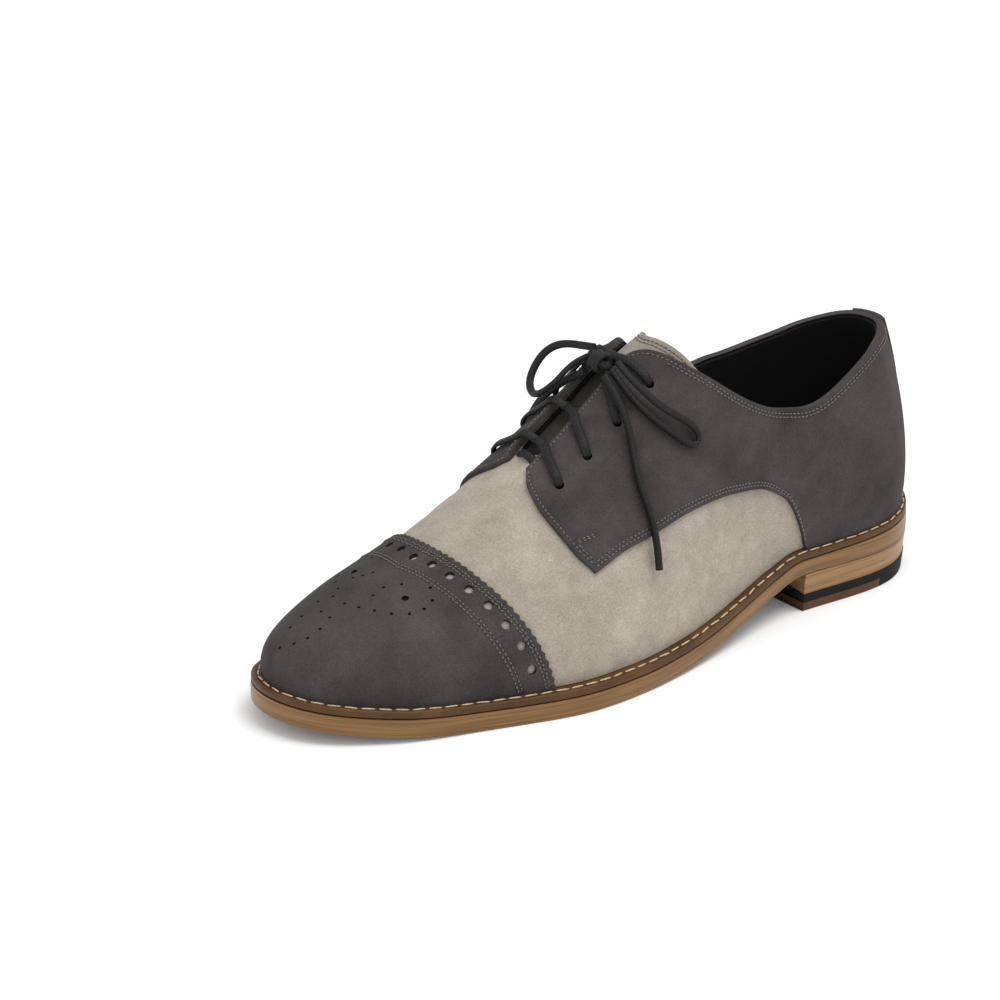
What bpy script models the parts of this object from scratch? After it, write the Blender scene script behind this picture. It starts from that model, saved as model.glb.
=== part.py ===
"""A left spectator shoe: a two-tone derby with a toe cap, two lacing flaps and a stacked heel.

Metres, +X to the toe, +Y to the wearer's left, +Z up, standing on z = 0. One last function gives the
upper, its overlays, the tongue and the places of the eyelets and the lace.
"""

import math

import bmesh
import bpy
import numpy as np
from mathutils import Vector

# Driving sizes of the sole
LENGTH = 0.305
WIDTH = 0.1106
HEEL_HEIGHT = 0.016
HEEL_LENGTH = 0.0745
HEEL_TAPER = 0.0014
TOE_SPRING = 0.0065
SOLE_FORE = 0.0072
SOLE_WAIST = 0.0060
SOLE_BACK = 0.0095
TOP_PIECE = 0.0073
INSERT_HEIGHT = 0.0037
INSERT_LENGTH = 0.041
BREAST_HOLLOW = 0.002
EDGE_ROUND = 0.0008

# Driving sizes of the welt and the insole
WELT = 0.0030
WELT_INSET = 0.0002
MARGIN_FORE = 0.0055
MARGIN_HEEL = 0.0040
INSOLE = 0.0034

# Driving sizes of the upper
UPPER_HEIGHT = 0.090
HEEL_RADIUS = 0.033
WALL = 0.0020
OVERLAY = 0.0014
STRIP = 0.0010
TONGUE = 0.0018
FACING_GAP = 0.0088
FACING_MIDDLE = -0.0052
EYELET = 0.0044
EYELET_INSET = 0.0165

# Driving sizes of the lace
LACE = 0.0028
CORD = 0.0030
KNOT_LENGTH = 0.0100
KNOT_WIDTH = 0.0100
KNOT_HEIGHT = 0.0075

# Clearances
GAP = 0.0003
LAP = 0.0004
LIFT = 0.0004
TONGUE_LIFT = 0.0006

# Colours and finishes: base colour, roughness
NUBUCK = ((0.055, 0.052, 0.055), 0.85)
SUEDE = ((0.47, 0.44, 0.38), 0.9)
LINING = ((0.012, 0.011, 0.011), 0.7)
WELT_LEATHER = ((0.16, 0.085, 0.040), 0.5)
SOLE_LEATHER = ((0.42, 0.235, 0.115), 0.5)
HEEL_LEATHER = ((0.36, 0.215, 0.115), 0.5)
RUBBER = ((0.012, 0.012, 0.012), 0.6)
LACE_WAX = ((0.014, 0.013, 0.013), 0.6)


def table(columns, rows):
    """Named columns of a short table, as arrays."""
    return dict(zip(columns.split(), np.array(rows, float).T))


# Sole edge: station as a share of LENGTH from the back, half widths as shares of WIDTH
OUTLINE = table("station outer inner", [
    (0.000, -0.021, -0.021),
    (0.030, 0.164, -0.206),
    (0.080, 0.262, -0.302),
    (0.140, 0.293, -0.333),
    (0.220, 0.291, -0.327),
    (0.280, 0.298, -0.312),
    (0.360, 0.352, -0.290),
    (0.450, 0.420, -0.306),
    (0.530, 0.470, -0.370),
    (0.600, 0.496, -0.432),
    (0.660, 0.496, -0.478),
    (0.730, 0.452, -0.500),
    (0.800, 0.396, -0.478),
    (0.870, 0.341, -0.414),
    (0.930, 0.256, -0.328),
    (0.970, 0.168, -0.250),
    (1.000, -0.044, -0.044),
])

# Underside of the sole: rise as shares of HEEL_HEIGHT and TOE_SPRING, mix of the three thicknesses
ARCH = table("station heel toe back waist fore", [
    (0.000, 0.94, 0.00, 1.0, 0.0, 0.0),
    (0.245, 1.00, 0.00, 0.0, 1.0, 0.0),
    (0.300, 0.77, 0.00, 0.0, 1.0, 0.0),
    (0.370, 0.47, 0.00, 0.0, 0.9, 0.1),
    (0.440, 0.20, 0.00, 0.0, 0.6, 0.4),
    (0.500, 0.06, 0.00, 0.0, 0.2, 0.8),
    (0.560, 0.00, 0.00, 0.0, 0.0, 1.0),
    (0.740, 0.00, 0.00, 0.0, 0.0, 1.0),
    (0.800, 0.00, 0.06, 0.0, 0.0, 1.0),
    (0.860, 0.00, 0.22, 0.0, 0.0, 1.0),
    (0.930, 0.00, 0.55, 0.0, 0.0, 1.0),
    (1.000, 0.00, 1.00, 0.0, 0.0, 1.0),
])

# Last: station 0 to 1 from the heel's side to the toe and 0 to -1 round to the back seam.
# Crest as a share of UPPER_HEIGHT above the feather, ridge and flare as shares of WIDTH,
# rise as a share of the crest, flat as a share of the half width.
SECTIONS = table("station crest ridge rise_out rise_in flare_out flare_in flat_out flat_in", [
    (-1.000, 1.280, -0.021, 0.36, 0.36, 0.085, 0.085, 0.18, 0.18),
    (-0.473, 1.280, -0.021, 0.34, 0.34, 0.058, 0.058, 0.38, 0.38),
    (0.000, 1.285, -0.021, 0.33, 0.33, 0.022, 0.024, 0.74, 0.74),
    (0.116, 1.270, -0.021, 0.32, 0.36, 0.012, 0.027, 0.78, 0.73),
    (0.211, 1.250, -0.022, 0.32, 0.40, 0.009, 0.054, 0.73, 0.67),
    (0.307, 1.222, -0.030, 0.34, 0.44, 0.014, 0.077, 0.63, 0.62),
    (0.394, 1.114, -0.050, 0.36, 0.52, 0.018, 0.072, 0.58, 0.70),
    (0.470, 0.952, -0.070, 0.38, 0.56, 0.023, 0.054, 0.58, 0.72),
    (0.554, 0.776, -0.079, 0.40, 0.54, 0.027, 0.041, 0.60, 0.70),
    (0.623, 0.645, -0.079, 0.42, 0.48, 0.032, 0.036, 0.62, 0.68),
    (0.699, 0.512, -0.072, 0.44, 0.46, 0.032, 0.036, 0.64, 0.68),
    (0.775, 0.412, -0.064, 0.46, 0.48, 0.032, 0.034, 0.68, 0.72),
    (0.832, 0.356, -0.057, 0.50, 0.52, 0.027, 0.027, 0.70, 0.74),
    (0.890, 0.296, -0.050, 0.54, 0.55, 0.023, 0.023, 0.72, 0.74),
    (0.935, 0.244, -0.046, 0.56, 0.56, 0.018, 0.018, 0.72, 0.74),
    (0.968, 0.190, -0.044, 0.56, 0.56, 0.011, 0.011, 0.72, 0.72),
    (0.987, 0.136, -0.044, 0.56, 0.56, 0.005, 0.005, 0.70, 0.70),
    (0.996, 0.086, -0.044, 0.56, 0.56, 0.003, 0.003, 0.68, 0.68),
])

# Topline height above the feather as a share of UPPER_HEIGHT
TOPLINE = table("station outer inner", [
    (-1.000, 0.815, 0.815),
    (-0.741, 0.820, 0.811),
    (-0.444, 0.824, 0.788),
    (-0.200, 0.824, 0.762),
    (-0.060, 0.812, 0.748),
    (0.000, 0.784, 0.738),
    (0.025, 0.750, 0.733),
    (0.053, 0.706, 0.728),
    (0.080, 0.668, 0.722),
    (0.111, 0.638, 0.717),
    (0.140, 0.635, 0.714),
    (0.176, 0.674, 0.720),
    (0.201, 0.716, 0.740),
    (0.239, 0.797, 0.786),
    (0.268, 0.868, 0.836),
    (0.293, 0.940, 0.904),
    (0.318, 1.006, 0.978),
    (0.338, 1.050, 1.034),
    (0.360, 1.105, 1.100),
    (0.380, 1.200, 1.200),
])

# Lower edge of a quarter, up the wall from 0 at the feather to 1 on the ridge
QUARTER_LOWER = table("station up", [
    (-1.000, 0.000),
    (0.100, 0.000),
    (0.136, 0.000),
    (0.142, 0.050),
    (0.156, 0.128),
    (0.170, 0.178),
    (0.186, 0.212),
    (0.229, 0.272),
    (0.285, 0.310),
    (0.370, 0.354),
    (0.461, 0.389),
    (0.527, 0.415),
    (0.571, 0.416),
])

# Front edge of a lacing flap, from its lower tip to the throat corner
FLAP_FRONT = table("share station", [
    (0.00, 0.571),
    (0.23, 0.590),
    (0.62, 0.600),
    (0.86, 0.592),
    (1.00, 0.574),
])

# Rear edge of the toe cap
CAP_EDGE = table("up outer inner", [
    (0.000, 0.665, 0.657),
    (0.259, 0.683, 0.676),
    (0.494, 0.703, 0.699),
    (0.742, 0.721, 0.720),
    (0.984, 0.729, 0.729),
    (1.000, 0.729, 0.729),
])

# Tongue: its half width down from the ridge, and its top edge
TONGUE_SIDE = table("station up", [
    (0.200, 0.480),
    (0.285, 0.540),
    (0.350, 0.600),
    (0.430, 0.690),
    (0.520, 0.750),
    (0.600, 0.800),
])
TONGUE_TOP = 0.353
TONGUE_TOP_ROUND = -0.080
TONGUE_TOP_POWER = 1.2
TONGUE_TOP_SOFTNESS = 0.012
TONGUE_FRONT = 0.572
FACING_START = 0.181
THROAT = 0.556
THROAT_ROUND = 0.022
EYELET_STATIONS = (0.559, 0.507, 0.451, 0.391)
KNOT_STATION = 0.424
CROSSING_RISE = 0.42
HEEL_STRIP_TOP = 0.24
HEEL_STRIP_FOOT = 0.13
HEEL_STRIP_LENGTH = 0.46

# A crossing's way from its eyelet to the facing edge: share of the run, share of the climb
CROSSING_SHARES = ((0.35, 0.40), (0.75, 0.85))
CROSSING_MEETS = 0.16
CROSSING_ARCH = 0.25

# Knot: its middle, then its up direction and the direction down the ridge to the toe
KNOT_MIDDLE = (0.0015, 0.0004, 0.1131)
KNOT_UP = (0.633, 0.183, 0.752)
KNOT_TOEWARD = (0.773, -0.069, -0.631)

# Routes of the bow's loops and ends, each from the knot and in metres
LOOP_LATERAL = (
    (0.0004, 0.0064, 0.1110),
    (-0.0002, 0.0098, 0.1078),
    (-0.0016, 0.0135, 0.1038),
    (-0.0046, 0.0200, 0.0977),
    (-0.0096, 0.0257, 0.0916),
    (-0.0150, 0.0293, 0.0867),
    (-0.0193, 0.0310, 0.0838),
    (-0.0226, 0.0311, 0.0843),
    (-0.0228, 0.0300, 0.0876),
    (-0.0180, 0.0273, 0.0931),
    (-0.0100, 0.0223, 0.0994),
    (-0.0056, 0.0166, 0.1054),
    (-0.0031, 0.0106, 0.1106),
    (-0.0024, 0.0066, 0.1136),
)
LOOP_MEDIAL = (
    (-0.0012, -0.0056, 0.1164),
    (0.0000, -0.0120, 0.1156),
    (0.0023, -0.0200, 0.1144),
    (0.0051, -0.0260, 0.1110),
    (0.0087, -0.0290, 0.1050),
    (0.0124, -0.0280, 0.0990),
    (0.0151, -0.0226, 0.0966),
    (0.0156, -0.0165, 0.0990),
    (0.0120, -0.0126, 0.1036),
    (0.0066, -0.0106, 0.1090),
    (0.0034, -0.0086, 0.1116),
    (0.0018, -0.0060, 0.1134),
)
END_LATERAL = (
    (0.0036, 0.0064, 0.1094),
    (0.0036, 0.0106, 0.1058),
    (0.0030, 0.0170, 0.0980),
    (0.0045, 0.0247, 0.0858),
    (0.0067, 0.0320, 0.0744),
    (0.0064, 0.0381, 0.0637),
    (0.0066, 0.0424, 0.0528),
    (0.0075, 0.0451, 0.0439),
)
END_MEDIAL = (
    (0.0046, -0.0042, 0.1082),
    (0.0056, -0.0104, 0.1046),
    (0.0080, -0.0171, 0.0995),
    (0.0096, -0.0237, 0.0932),
    (0.0102, -0.0290, 0.0858),
    (0.0102, -0.0333, 0.0775),
    (0.0102, -0.0364, 0.0688),
    (0.0106, -0.0381, 0.0612),
    (0.0113, -0.0392, 0.0531),
)

# Columns of the meshes between the throat and the heel, closer together round the flap's top
FLAP_STATIONS = (0.550, 0.522)
BODY_STATIONS = (0.490, 0.462, 0.435, 0.410, 0.388, 0.369, 0.354, 0.340, 0.326, 0.310, 0.290, 0.265,
                 0.235, 0.200, 0.165, 0.125, 0.085, 0.042, 0.000)
FOOT_STATIONS = (0.186, 0.170, 0.156, 0.142, 0.136)
HEEL_COLUMNS = 9
TOE_COLUMNS = 12
TOE_BACK = 0.80
SIDE_NAMES = {1: "outer", -1: "inner"}


def smooth(xs, ys, x):
    """Monotone cubic through a table, flat past its ends."""
    x = np.clip(np.asarray(x, float), xs[0], xs[-1])
    step = np.diff(xs)
    slope = np.diff(ys) / step
    tangent = np.zeros(len(xs))
    tangent[0], tangent[-1] = slope[0], slope[-1]
    for i in range(1, len(xs) - 1):
        if slope[i - 1] * slope[i] > 0:
            before = 2 * step[i] + step[i - 1]
            after = step[i] + 2 * step[i - 1]
            tangent[i] = (before + after) / (before / slope[i - 1] + after / slope[i])
    k = np.clip(np.searchsorted(xs, x) - 1, 0, len(xs) - 2)
    s = (x - xs[k]) / step[k]
    value = (1 + 2 * s) * (1 - s) ** 2 * ys[k] + s * s * (3 - 2 * s) * ys[k + 1]
    return value + step[k] * (s * (1 - s) ** 2 * tangent[k] + s * s * (s - 1) * tangent[k + 1])


def natural(xs, ys, x):
    """Natural cubic spline, which carries a round end through the last rows of an outline."""
    count = len(xs)
    step = np.diff(xs)
    matrix = np.eye(count)
    right = np.zeros(count)
    for i in range(1, count - 1):
        matrix[i, i - 1:i + 2] = step[i - 1], 2 * (step[i - 1] + step[i]), step[i]
        right[i] = 6 * ((ys[i + 1] - ys[i]) / step[i] - (ys[i] - ys[i - 1]) / step[i - 1])
    bend = np.linalg.solve(matrix, right)
    x = np.asarray(x, float)
    k = np.clip(np.searchsorted(xs, x) - 1, 0, count - 2)
    a = (xs[k + 1] - x) / step[k]
    b = (x - xs[k]) / step[k]
    curve = (a ** 3 - a) * bend[k] + (b ** 3 - b) * bend[k + 1]
    return a * ys[k] + b * ys[k + 1] + curve * step[k] ** 2 / 6


def turn(share):
    """Half turn round the outline for a station, 0 at the back and 1 at the toe."""
    return np.arccos(1 - 2 * np.clip(share, 0.0, 1.0)) / math.pi


def sole_edge(t, side):
    """Plan of the sole's edge after a half turn t."""
    y = natural(turn(OUTLINE["station"]), OUTLINE[SIDE_NAMES[side]] * WIDTH, t)
    return -0.5 * LENGTH * np.cos(math.pi * np.asarray(t, float)), y


def inset_edge(t, side, inset):
    """Plan of the sole's edge moved inward by inset."""
    t = np.asarray(t, float)
    eps = 1e-4
    x0, y0 = sole_edge(np.clip(t - eps, 0, 1), side)
    x1, y1 = sole_edge(np.clip(t + eps, 0, 1), side)
    x, y = sole_edge(t, side)
    run = np.hypot(x1 - x0, y1 - y0)
    return x + side * (y1 - y0) / run * inset, y - side * (x1 - x0) / run * inset


def arch(column, x):
    return smooth(ARCH["station"], ARCH[column], np.asarray(x, float) / LENGTH + 0.5)


def underside(x):
    return HEEL_HEIGHT * arch("heel", x) + TOE_SPRING * arch("toe", x)


def sole_top(x):
    thickness = SOLE_BACK * arch("back", x) + SOLE_WAIST * arch("waist", x) + SOLE_FORE * arch("fore", x)
    return underside(x) + thickness


def welt_bottom(x):
    return sole_top(x) + GAP


def welt_top(x):
    return welt_bottom(x) + WELT


def feather(x):
    """Height of the upper's lower edge."""
    return welt_top(x) + GAP


def welt_margin(t):
    """Width of welt that shows outside the upper."""
    blend = np.clip((np.asarray(t, float) - 0.30) / 0.25, 0.0, 1.0)
    return MARGIN_HEEL + (MARGIN_FORE - MARGIN_HEEL) * blend


OUTLINE_SAMPLES = np.linspace(0.0, 1.0, 801)
FEATHER = {side: inset_edge(OUTLINE_SAMPLES, side, welt_margin(OUTLINE_SAMPLES)) for side in (1, -1)}
TOE_X = float(FEATHER[1][0][-1])
BACK_X = float(FEATHER[1][0][0])
BACK_Y = float(FEATHER[1][1][0])
HEEL_AXIS_X = BACK_X + HEEL_RADIUS
FRONT_RUN = TOE_X - HEEL_AXIS_X
HEEL_RUN = 0.5 * math.pi * HEEL_RADIUS


def run_at(station):
    """Run along the shoe in metres: x ahead of the heel axis, arc length behind it."""
    station = np.asarray(station, float)
    return HEEL_AXIS_X + np.where(station >= 0, station * FRONT_RUN, station * HEEL_RUN)


def station_at(run):
    ahead = np.asarray(run, float) - HEEL_AXIS_X
    return np.where(ahead >= 0, ahead / FRONT_RUN, ahead / HEEL_RUN)


def heel_radii(side):
    """Plan radius of the feather about the heel axis, against the angle from the side."""
    x, y = FEATHER[side]
    angle = np.arctan2(HEEL_AXIS_X - x, side * (y - BACK_Y))
    order = np.argsort(angle)
    return angle[order], np.hypot(x - HEEL_AXIS_X, y - BACK_Y)[order]


HEEL_RADII = {side: heel_radii(side) for side in (1, -1)}
SECTION_RUNS = run_at(SECTIONS["station"])
CREST_DEPTHS = np.sqrt(np.maximum(TOE_X - SECTION_RUNS, 0.0))


def section(column, run):
    return smooth(SECTION_RUNS, SECTIONS[column], run)


def crest_height(run):
    """Height of the crest over the feather, round at the toe like a nose."""
    depth = np.sqrt(np.maximum(TOE_X - np.asarray(run, float), 0.0))
    depths = np.append(CREST_DEPTHS, 0.0)[::-1]
    heights = np.append(SECTIONS["crest"], 0.0)[::-1]
    return UPPER_HEIGHT * smooth(depths, heights, depth)


def last_wall(side, run, up):
    """A point of the last's wall: up runs from 0 at the feather to 1 on the ridge."""
    name = "_out" if side > 0 else "_in"
    behind = run < HEEL_AXIS_X
    x = np.clip(run, HEEL_AXIS_X, TOE_X)
    angle = np.where(behind, (HEEL_AXIS_X - run) / HEEL_RADIUS, 0.0)
    ridge = np.where(behind, BACK_Y, section("ridge", x) * WIDTH)
    half = side * (np.interp(x, *FEATHER[side]) - ridge)
    reach = np.maximum(np.where(behind, np.interp(angle, *HEEL_RADII[side]), half), 0.0)
    base = feather(x - reach * np.sin(angle))
    crest = crest_height(run)
    a, b, c = (1 - up) ** 3, 3 * up * (1 - up) ** 2, 3 * up * up * (1 - up)
    out = a * reach + b * (reach + section("flare" + name, run) * WIDTH) + c * reach * section("flat" + name, run)
    height = base + crest * (b * section("rise" + name, run) + c + up ** 3)
    return np.stack([x - out * np.sin(angle), ridge + side * out * np.cos(angle), height], -1)


def on_last(side, run, up, offset=0.0):
    """Points on the last moved outward along its normal by offset."""
    run, up = np.broadcast_arrays(np.asarray(run, float), np.asarray(up, float))
    run = np.minimum(run, TOE_X - 1e-7)
    point = last_wall(side, run, up)
    step = 2e-4
    ahead = np.minimum(run + step, TOE_X - 1e-7)
    along = last_wall(side, ahead, up) - last_wall(side, ahead - 2 * step, up)
    climb = last_wall(side, run, np.minimum(up + 1e-3, 1.0)) - last_wall(side, run, np.maximum(up - 1e-3, 0.0))
    normal = np.cross(climb, along) * side
    size = np.linalg.norm(normal, axis=-1, keepdims=True)
    normal = np.where(size > 1e-14, normal / np.maximum(size, 1e-14), [1.0, 0.0, 0.0])
    ridge = (up > 0.9995)[..., None]
    flat = normal * [1.0, 0.0, 1.0]
    flat = flat / np.maximum(np.linalg.norm(flat, axis=-1, keepdims=True), 1e-14)
    normal = np.where(ridge, flat, normal)
    return point + normal * offset


def nose(offset):
    """The last's foremost point, where all its toe sections meet."""
    return np.array([TOE_X + offset, OUTLINE["outer"][-1] * WIDTH, float(feather(TOE_X))])


def up_where(side, run, reached):
    """The first up on each wall curve where reached(points) turns true."""
    ups = np.linspace(0.0, 1.0, 401)
    found = []
    for q in np.atleast_1d(run):
        measure = reached(last_wall(side, np.full(ups.shape, q), ups))
        beyond = np.nonzero(measure > 0)[0]
        if len(beyond) == 0 or beyond[0] == 0:
            found.append(1.0 if len(beyond) == 0 else 0.0)
            continue
        k = int(beyond[0])
        share = measure[k - 1] / (measure[k - 1] - measure[k])
        found.append(ups[k - 1] + (ups[k] - ups[k - 1]) * share)
    return np.array(found)


def facing_up(side, run):
    """Up of a flap's facing edge, half the gap from the middle of the lacing."""
    return up_where(side, run, lambda p: FACING_GAP / 2 - side * (p[:, 1] - FACING_MIDDLE))


def eyelet_up(side, run):
    """Up of an eyelet's centre, set in from the facing edge along the wall."""
    ups = np.linspace(0.0, float(facing_up(side, run)[0]), 201)[::-1]
    wall = last_wall(side, np.full(ups.shape, run), ups)
    length = np.append(0.0, np.cumsum(np.linalg.norm(np.diff(wall, axis=0), axis=1)))
    return float(np.interp(EYELET_INSET, length, ups))


def topline_up(side, run):
    """Up of the collar's edge."""
    height = UPPER_HEIGHT * smooth(run_at(TOPLINE["station"]), TOPLINE[SIDE_NAMES[side]], run)
    found = []
    for q, rise in zip(np.atleast_1d(run), np.atleast_1d(height)):
        base = last_wall(side, np.array([q]), np.array([0.0]))[0, 2]
        found.append(up_where(side, q, lambda p: p[:, 2] - base - rise)[0])
    return np.array(found)

# Rounding of the flap's top corner and of the collar line, in shares and samples
CORNER_SOFTNESS = 0.035
CORNER_SPREAD = 5.5


def edge_table(side):
    """Collar and facing edge of one side against the run, with a round top corner."""
    runs = np.linspace(HEEL_AXIS_X - HEEL_RUN, float(run_at(0.62)), 240)
    facing = np.where(station_at(runs) < FACING_START, 1.0, facing_up(side, runs))
    collar = np.where(station_at(runs) > TOPLINE["station"][-1], 1.0, topline_up(side, runs))
    top = -CORNER_SOFTNESS * np.log(np.exp(-facing / CORNER_SOFTNESS) + np.exp(-collar / CORNER_SOFTNESS))
    reach = 14
    window = np.exp(-0.5 * (np.arange(-reach, reach + 1) / CORNER_SPREAD) ** 2)
    even = np.convolve(np.pad(top, reach, "edge"), window / window.sum(), "valid")
    top += (even - top) * np.clip(np.arange(len(runs)) / reach, 0.0, 1.0)
    return runs, np.clip(top, 0.0, 1.0)


EDGES = {side: edge_table(side) for side in (1, -1)}


def tongue_bend(across):
    """How far the tongue's top edge bends back from its middle, round on the ridge."""
    power = TONGUE_TOP_POWER / 2
    return (across ** 2 + TONGUE_TOP_SOFTNESS) ** power - TONGUE_TOP_SOFTNESS ** power


def top_edge(side, run):
    return np.interp(run, *EDGES[side])


def throat_edge(side, run):
    """Edge of the shell: the flap's edge behind the throat, closing to the ridge at it."""
    start = float(run_at(THROAT))
    opening = np.clip((start - np.asarray(run, float)) / (THROAT_ROUND * FRONT_RUN), 0.0, 1.0)
    share = np.sqrt(1 - (1 - opening) ** 2)
    return 1.0 + (top_edge(side, run) - 1.0) * share


def material(name, finish):
    made = bpy.data.materials.new(name)
    made.use_nodes = True
    shader = made.node_tree.nodes["Principled BSDF"]
    shader.inputs["Base Color"].default_value = (*finish[0], 1.0)
    shader.inputs["Roughness"].default_value = finish[1]
    shader.inputs["Metallic"].default_value = 0.0
    return made


def add_object(name, mesh, finish):
    piece = bpy.data.objects.new(name, mesh)
    bpy.context.scene.collection.objects.link(piece)
    piece.data.materials.append(material(name, finish))
    return piece


def add_mesh(name, points, faces, finish, sharp=40.0):
    """An object from points and faces, with equal points joined and faces turned outward."""
    mesh = bpy.data.meshes.new(name)
    mesh.from_pydata([tuple(p) for p in points], [], faces)
    shape = bmesh.new()
    shape.from_mesh(mesh)
    bmesh.ops.remove_doubles(shape, verts=shape.verts, dist=1e-6)
    bmesh.ops.dissolve_degenerate(shape, dist=1e-7, edges=shape.edges)
    bmesh.ops.triangulate(shape, faces=shape.faces)
    bmesh.ops.recalc_face_normals(shape, faces=shape.faces)
    if shape.calc_volume(signed=True) < 0:
        bmesh.ops.reverse_faces(shape, faces=shape.faces)
    shape.to_mesh(mesh)
    shape.free()
    mesh.shade_smooth()
    mesh.set_sharp_from_angle(angle=math.radians(sharp))
    return add_object(name, mesh, finish)


def as_guide(piece):
    piece.hide_render = True
    piece.display_type = "WIRE"
    return piece


def add_boolean(piece, other, operation):
    modifier = piece.modifiers.new(operation.lower(), "BOOLEAN")
    modifier.operation = operation
    modifier.object = other
    modifier.solver = "EXACT"


def ring_faces(first, second):
    """Quads between two closed rings of point numbers."""
    count = len(first)
    return [(first[i], first[(i + 1) % count], second[(i + 1) % count], second[i]) for i in range(count)]


def add_slab(name, turns, rows, finish, hollow=0.0):
    """A slab of the sole between two half turns. rows: inset and height, from the bottom up."""
    points, rings = [], []
    cut_front = turns[-1] < 1.0
    cut_back = turns[0] > 0.0
    bow = np.linspace(1.0, -1.0, 7)[1:-1]
    for inset, height in rows:
        outer = np.stack(inset_edge(turns, 1, inset), -1)
        inner = np.stack(inset_edge(turns, -1, inset), -1)
        ring = [tuple(p) for p in outer]
        if cut_front:
            front = [outer[-1] + (inner[-1] - outer[-1]) * (1 - b) / 2 for b in bow]
            ring += [(p[0] - hollow * (1 - b * b), p[1]) for p, b in zip(front, bow)]
        ring += [tuple(p) for p in inner[::-1]]
        if cut_back:
            back = [inner[0] + (outer[0] - inner[0]) * (1 - b) / 2 for b in bow]
            ring += [(p[0] - hollow * (1 - b * b), p[1]) for p, b in zip(back, bow)]
        start = len(points)
        points += [(x, y, float(height(x))) for x, y in ring]
        rings.append(list(range(start, len(points))))
    faces = []
    for lower, upper in zip(rings[:-1], rings[1:]):
        faces += ring_faces(lower, upper)
    steps = len(turns)
    middle = len(bow) if cut_front else 0
    for ring in (rings[0], rings[-1]):
        outer = ring[:steps]
        front = ring[steps:steps + middle]
        inner = ring[steps + middle:2 * steps + middle][::-1]
        back = ring[2 * steps + middle:]
        faces += [(outer[i], outer[i + 1], inner[i + 1], inner[i]) for i in range(steps - 1)]
        if cut_front:
            faces.append((outer[-1], *front, inner[-1]))
        if cut_back:
            faces.append((inner[0], *back, outer[0]))
    return add_mesh(name, points, faces, finish)


def add_ring(name, turns, rows, finish):
    """A closed band round the whole outline. rows: inset and height, round its section."""
    points, rings = [], []
    for inset, height in rows:
        outer = np.stack(inset_edge(turns, 1, inset(turns)), -1)
        inner = np.stack(inset_edge(turns, -1, inset(turns)), -1)[::-1][1:-1]
        start = len(points)
        points += [(x, y, float(height(x))) for x, y in [*outer, *inner]]
        rings.append(list(range(start, len(points))))
    faces = []
    for k, ring in enumerate(rings):
        faces += ring_faces(ring, rings[(k + 1) % len(rings)])
    return add_mesh(name, points, faces, finish)


def patch_faces(grid, flip=False):
    """Quads of a grid of point numbers."""
    faces = []
    for near, far in zip(grid[:-1], grid[1:]):
        for j in range(len(near) - 1):
            quad = (near[j], near[j + 1], far[j + 1], far[j])
            faces.append(quad[::-1] if flip else quad)
    return faces


def add_leaf(name, runs, ups, side, under, over, finish):
    """A patch of the last between two offsets. runs and ups are grids of equal shape."""
    lower = on_last(side, runs, ups, under)
    upper = on_last(side, runs, ups, over)
    for layer in (lower, upper):
        layer[..., 2] = np.maximum(layer[..., 2], feather(layer[..., 0]))
    rows, columns = runs.shape
    points = [*lower.reshape(-1, 3), *upper.reshape(-1, 3)]
    low = np.arange(rows * columns).reshape(rows, columns)
    high = low + rows * columns
    faces = patch_faces(low.tolist()) + patch_faces(high.tolist(), True)
    rim = [*low[0, :-1], *low[:-1, -1], *low[-1, :0:-1], *low[:0:-1, 0]]
    faces += ring_faces([int(i) for i in rim], [int(i) + rows * columns for i in rim])
    return add_mesh(name, points, faces, finish)


def toe_runs():
    """Runs from the toe's tip back, close together where the nose is round."""
    share = np.linspace(0.0, 1.0, TOE_COLUMNS)
    return TOE_X - (TOE_X - run_at(TOE_BACK)) * share ** 2


def heel_runs():
    """Runs round the heel, evenly to the back seam."""
    return np.linspace(HEEL_AXIS_X, HEEL_AXIS_X - HEEL_RUN, HEEL_COLUMNS)[1:]


def add_upper():
    """One hollow shell: open at the collar and throat and underneath."""
    rows = 9
    climb = np.linspace(0.0, 1.0, rows)
    throat = float(run_at(THROAT))
    toe = toe_runs()
    vamp = np.linspace(toe[-1], throat, 9)[1:]
    mouth = throat - THROAT_ROUND * FRONT_RUN * np.array([0.06, 0.3, 1.0])
    runs = np.concatenate([toe, vamp, mouth, run_at(BODY_STATIONS), heel_runs()])
    closed = len(toe) + len(vamp)
    points, faces = [], []
    bottom, collar = [], []
    for side in (1, -1):
        top = np.array([1.0 if i < closed else float(throat_edge(side, q)) for i, q in enumerate(runs)])
        grid_runs = np.repeat(runs[:, None], rows, 1)
        grid_ups = top[:, None] * climb[None, :]
        for offset, flip in ((0.0, side < 0), (-WALL, side > 0)):
            layer = on_last(side, grid_runs, grid_ups, offset)
            layer[:, 0, 2] = feather(layer[:, 0, 0])
            layer[0, :] = nose(offset)
            layer[-1, :, 1] = BACK_Y
            start = len(points)
            points += [tuple(p) for p in layer.reshape(-1, 3)]
            grid = (np.arange(layer.shape[0] * rows).reshape(-1, rows) + start).tolist()
            faces += patch_faces(grid, flip)
            bottom.append([column[0] for column in grid])
            collar.append([column[-1] for column in grid[closed - 1:]])
    for edge in (bottom, collar):
        faces += patch_faces(edge[:2]) + patch_faces(edge[2:])
    return add_mesh("upper", points, faces, SUEDE)


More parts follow.
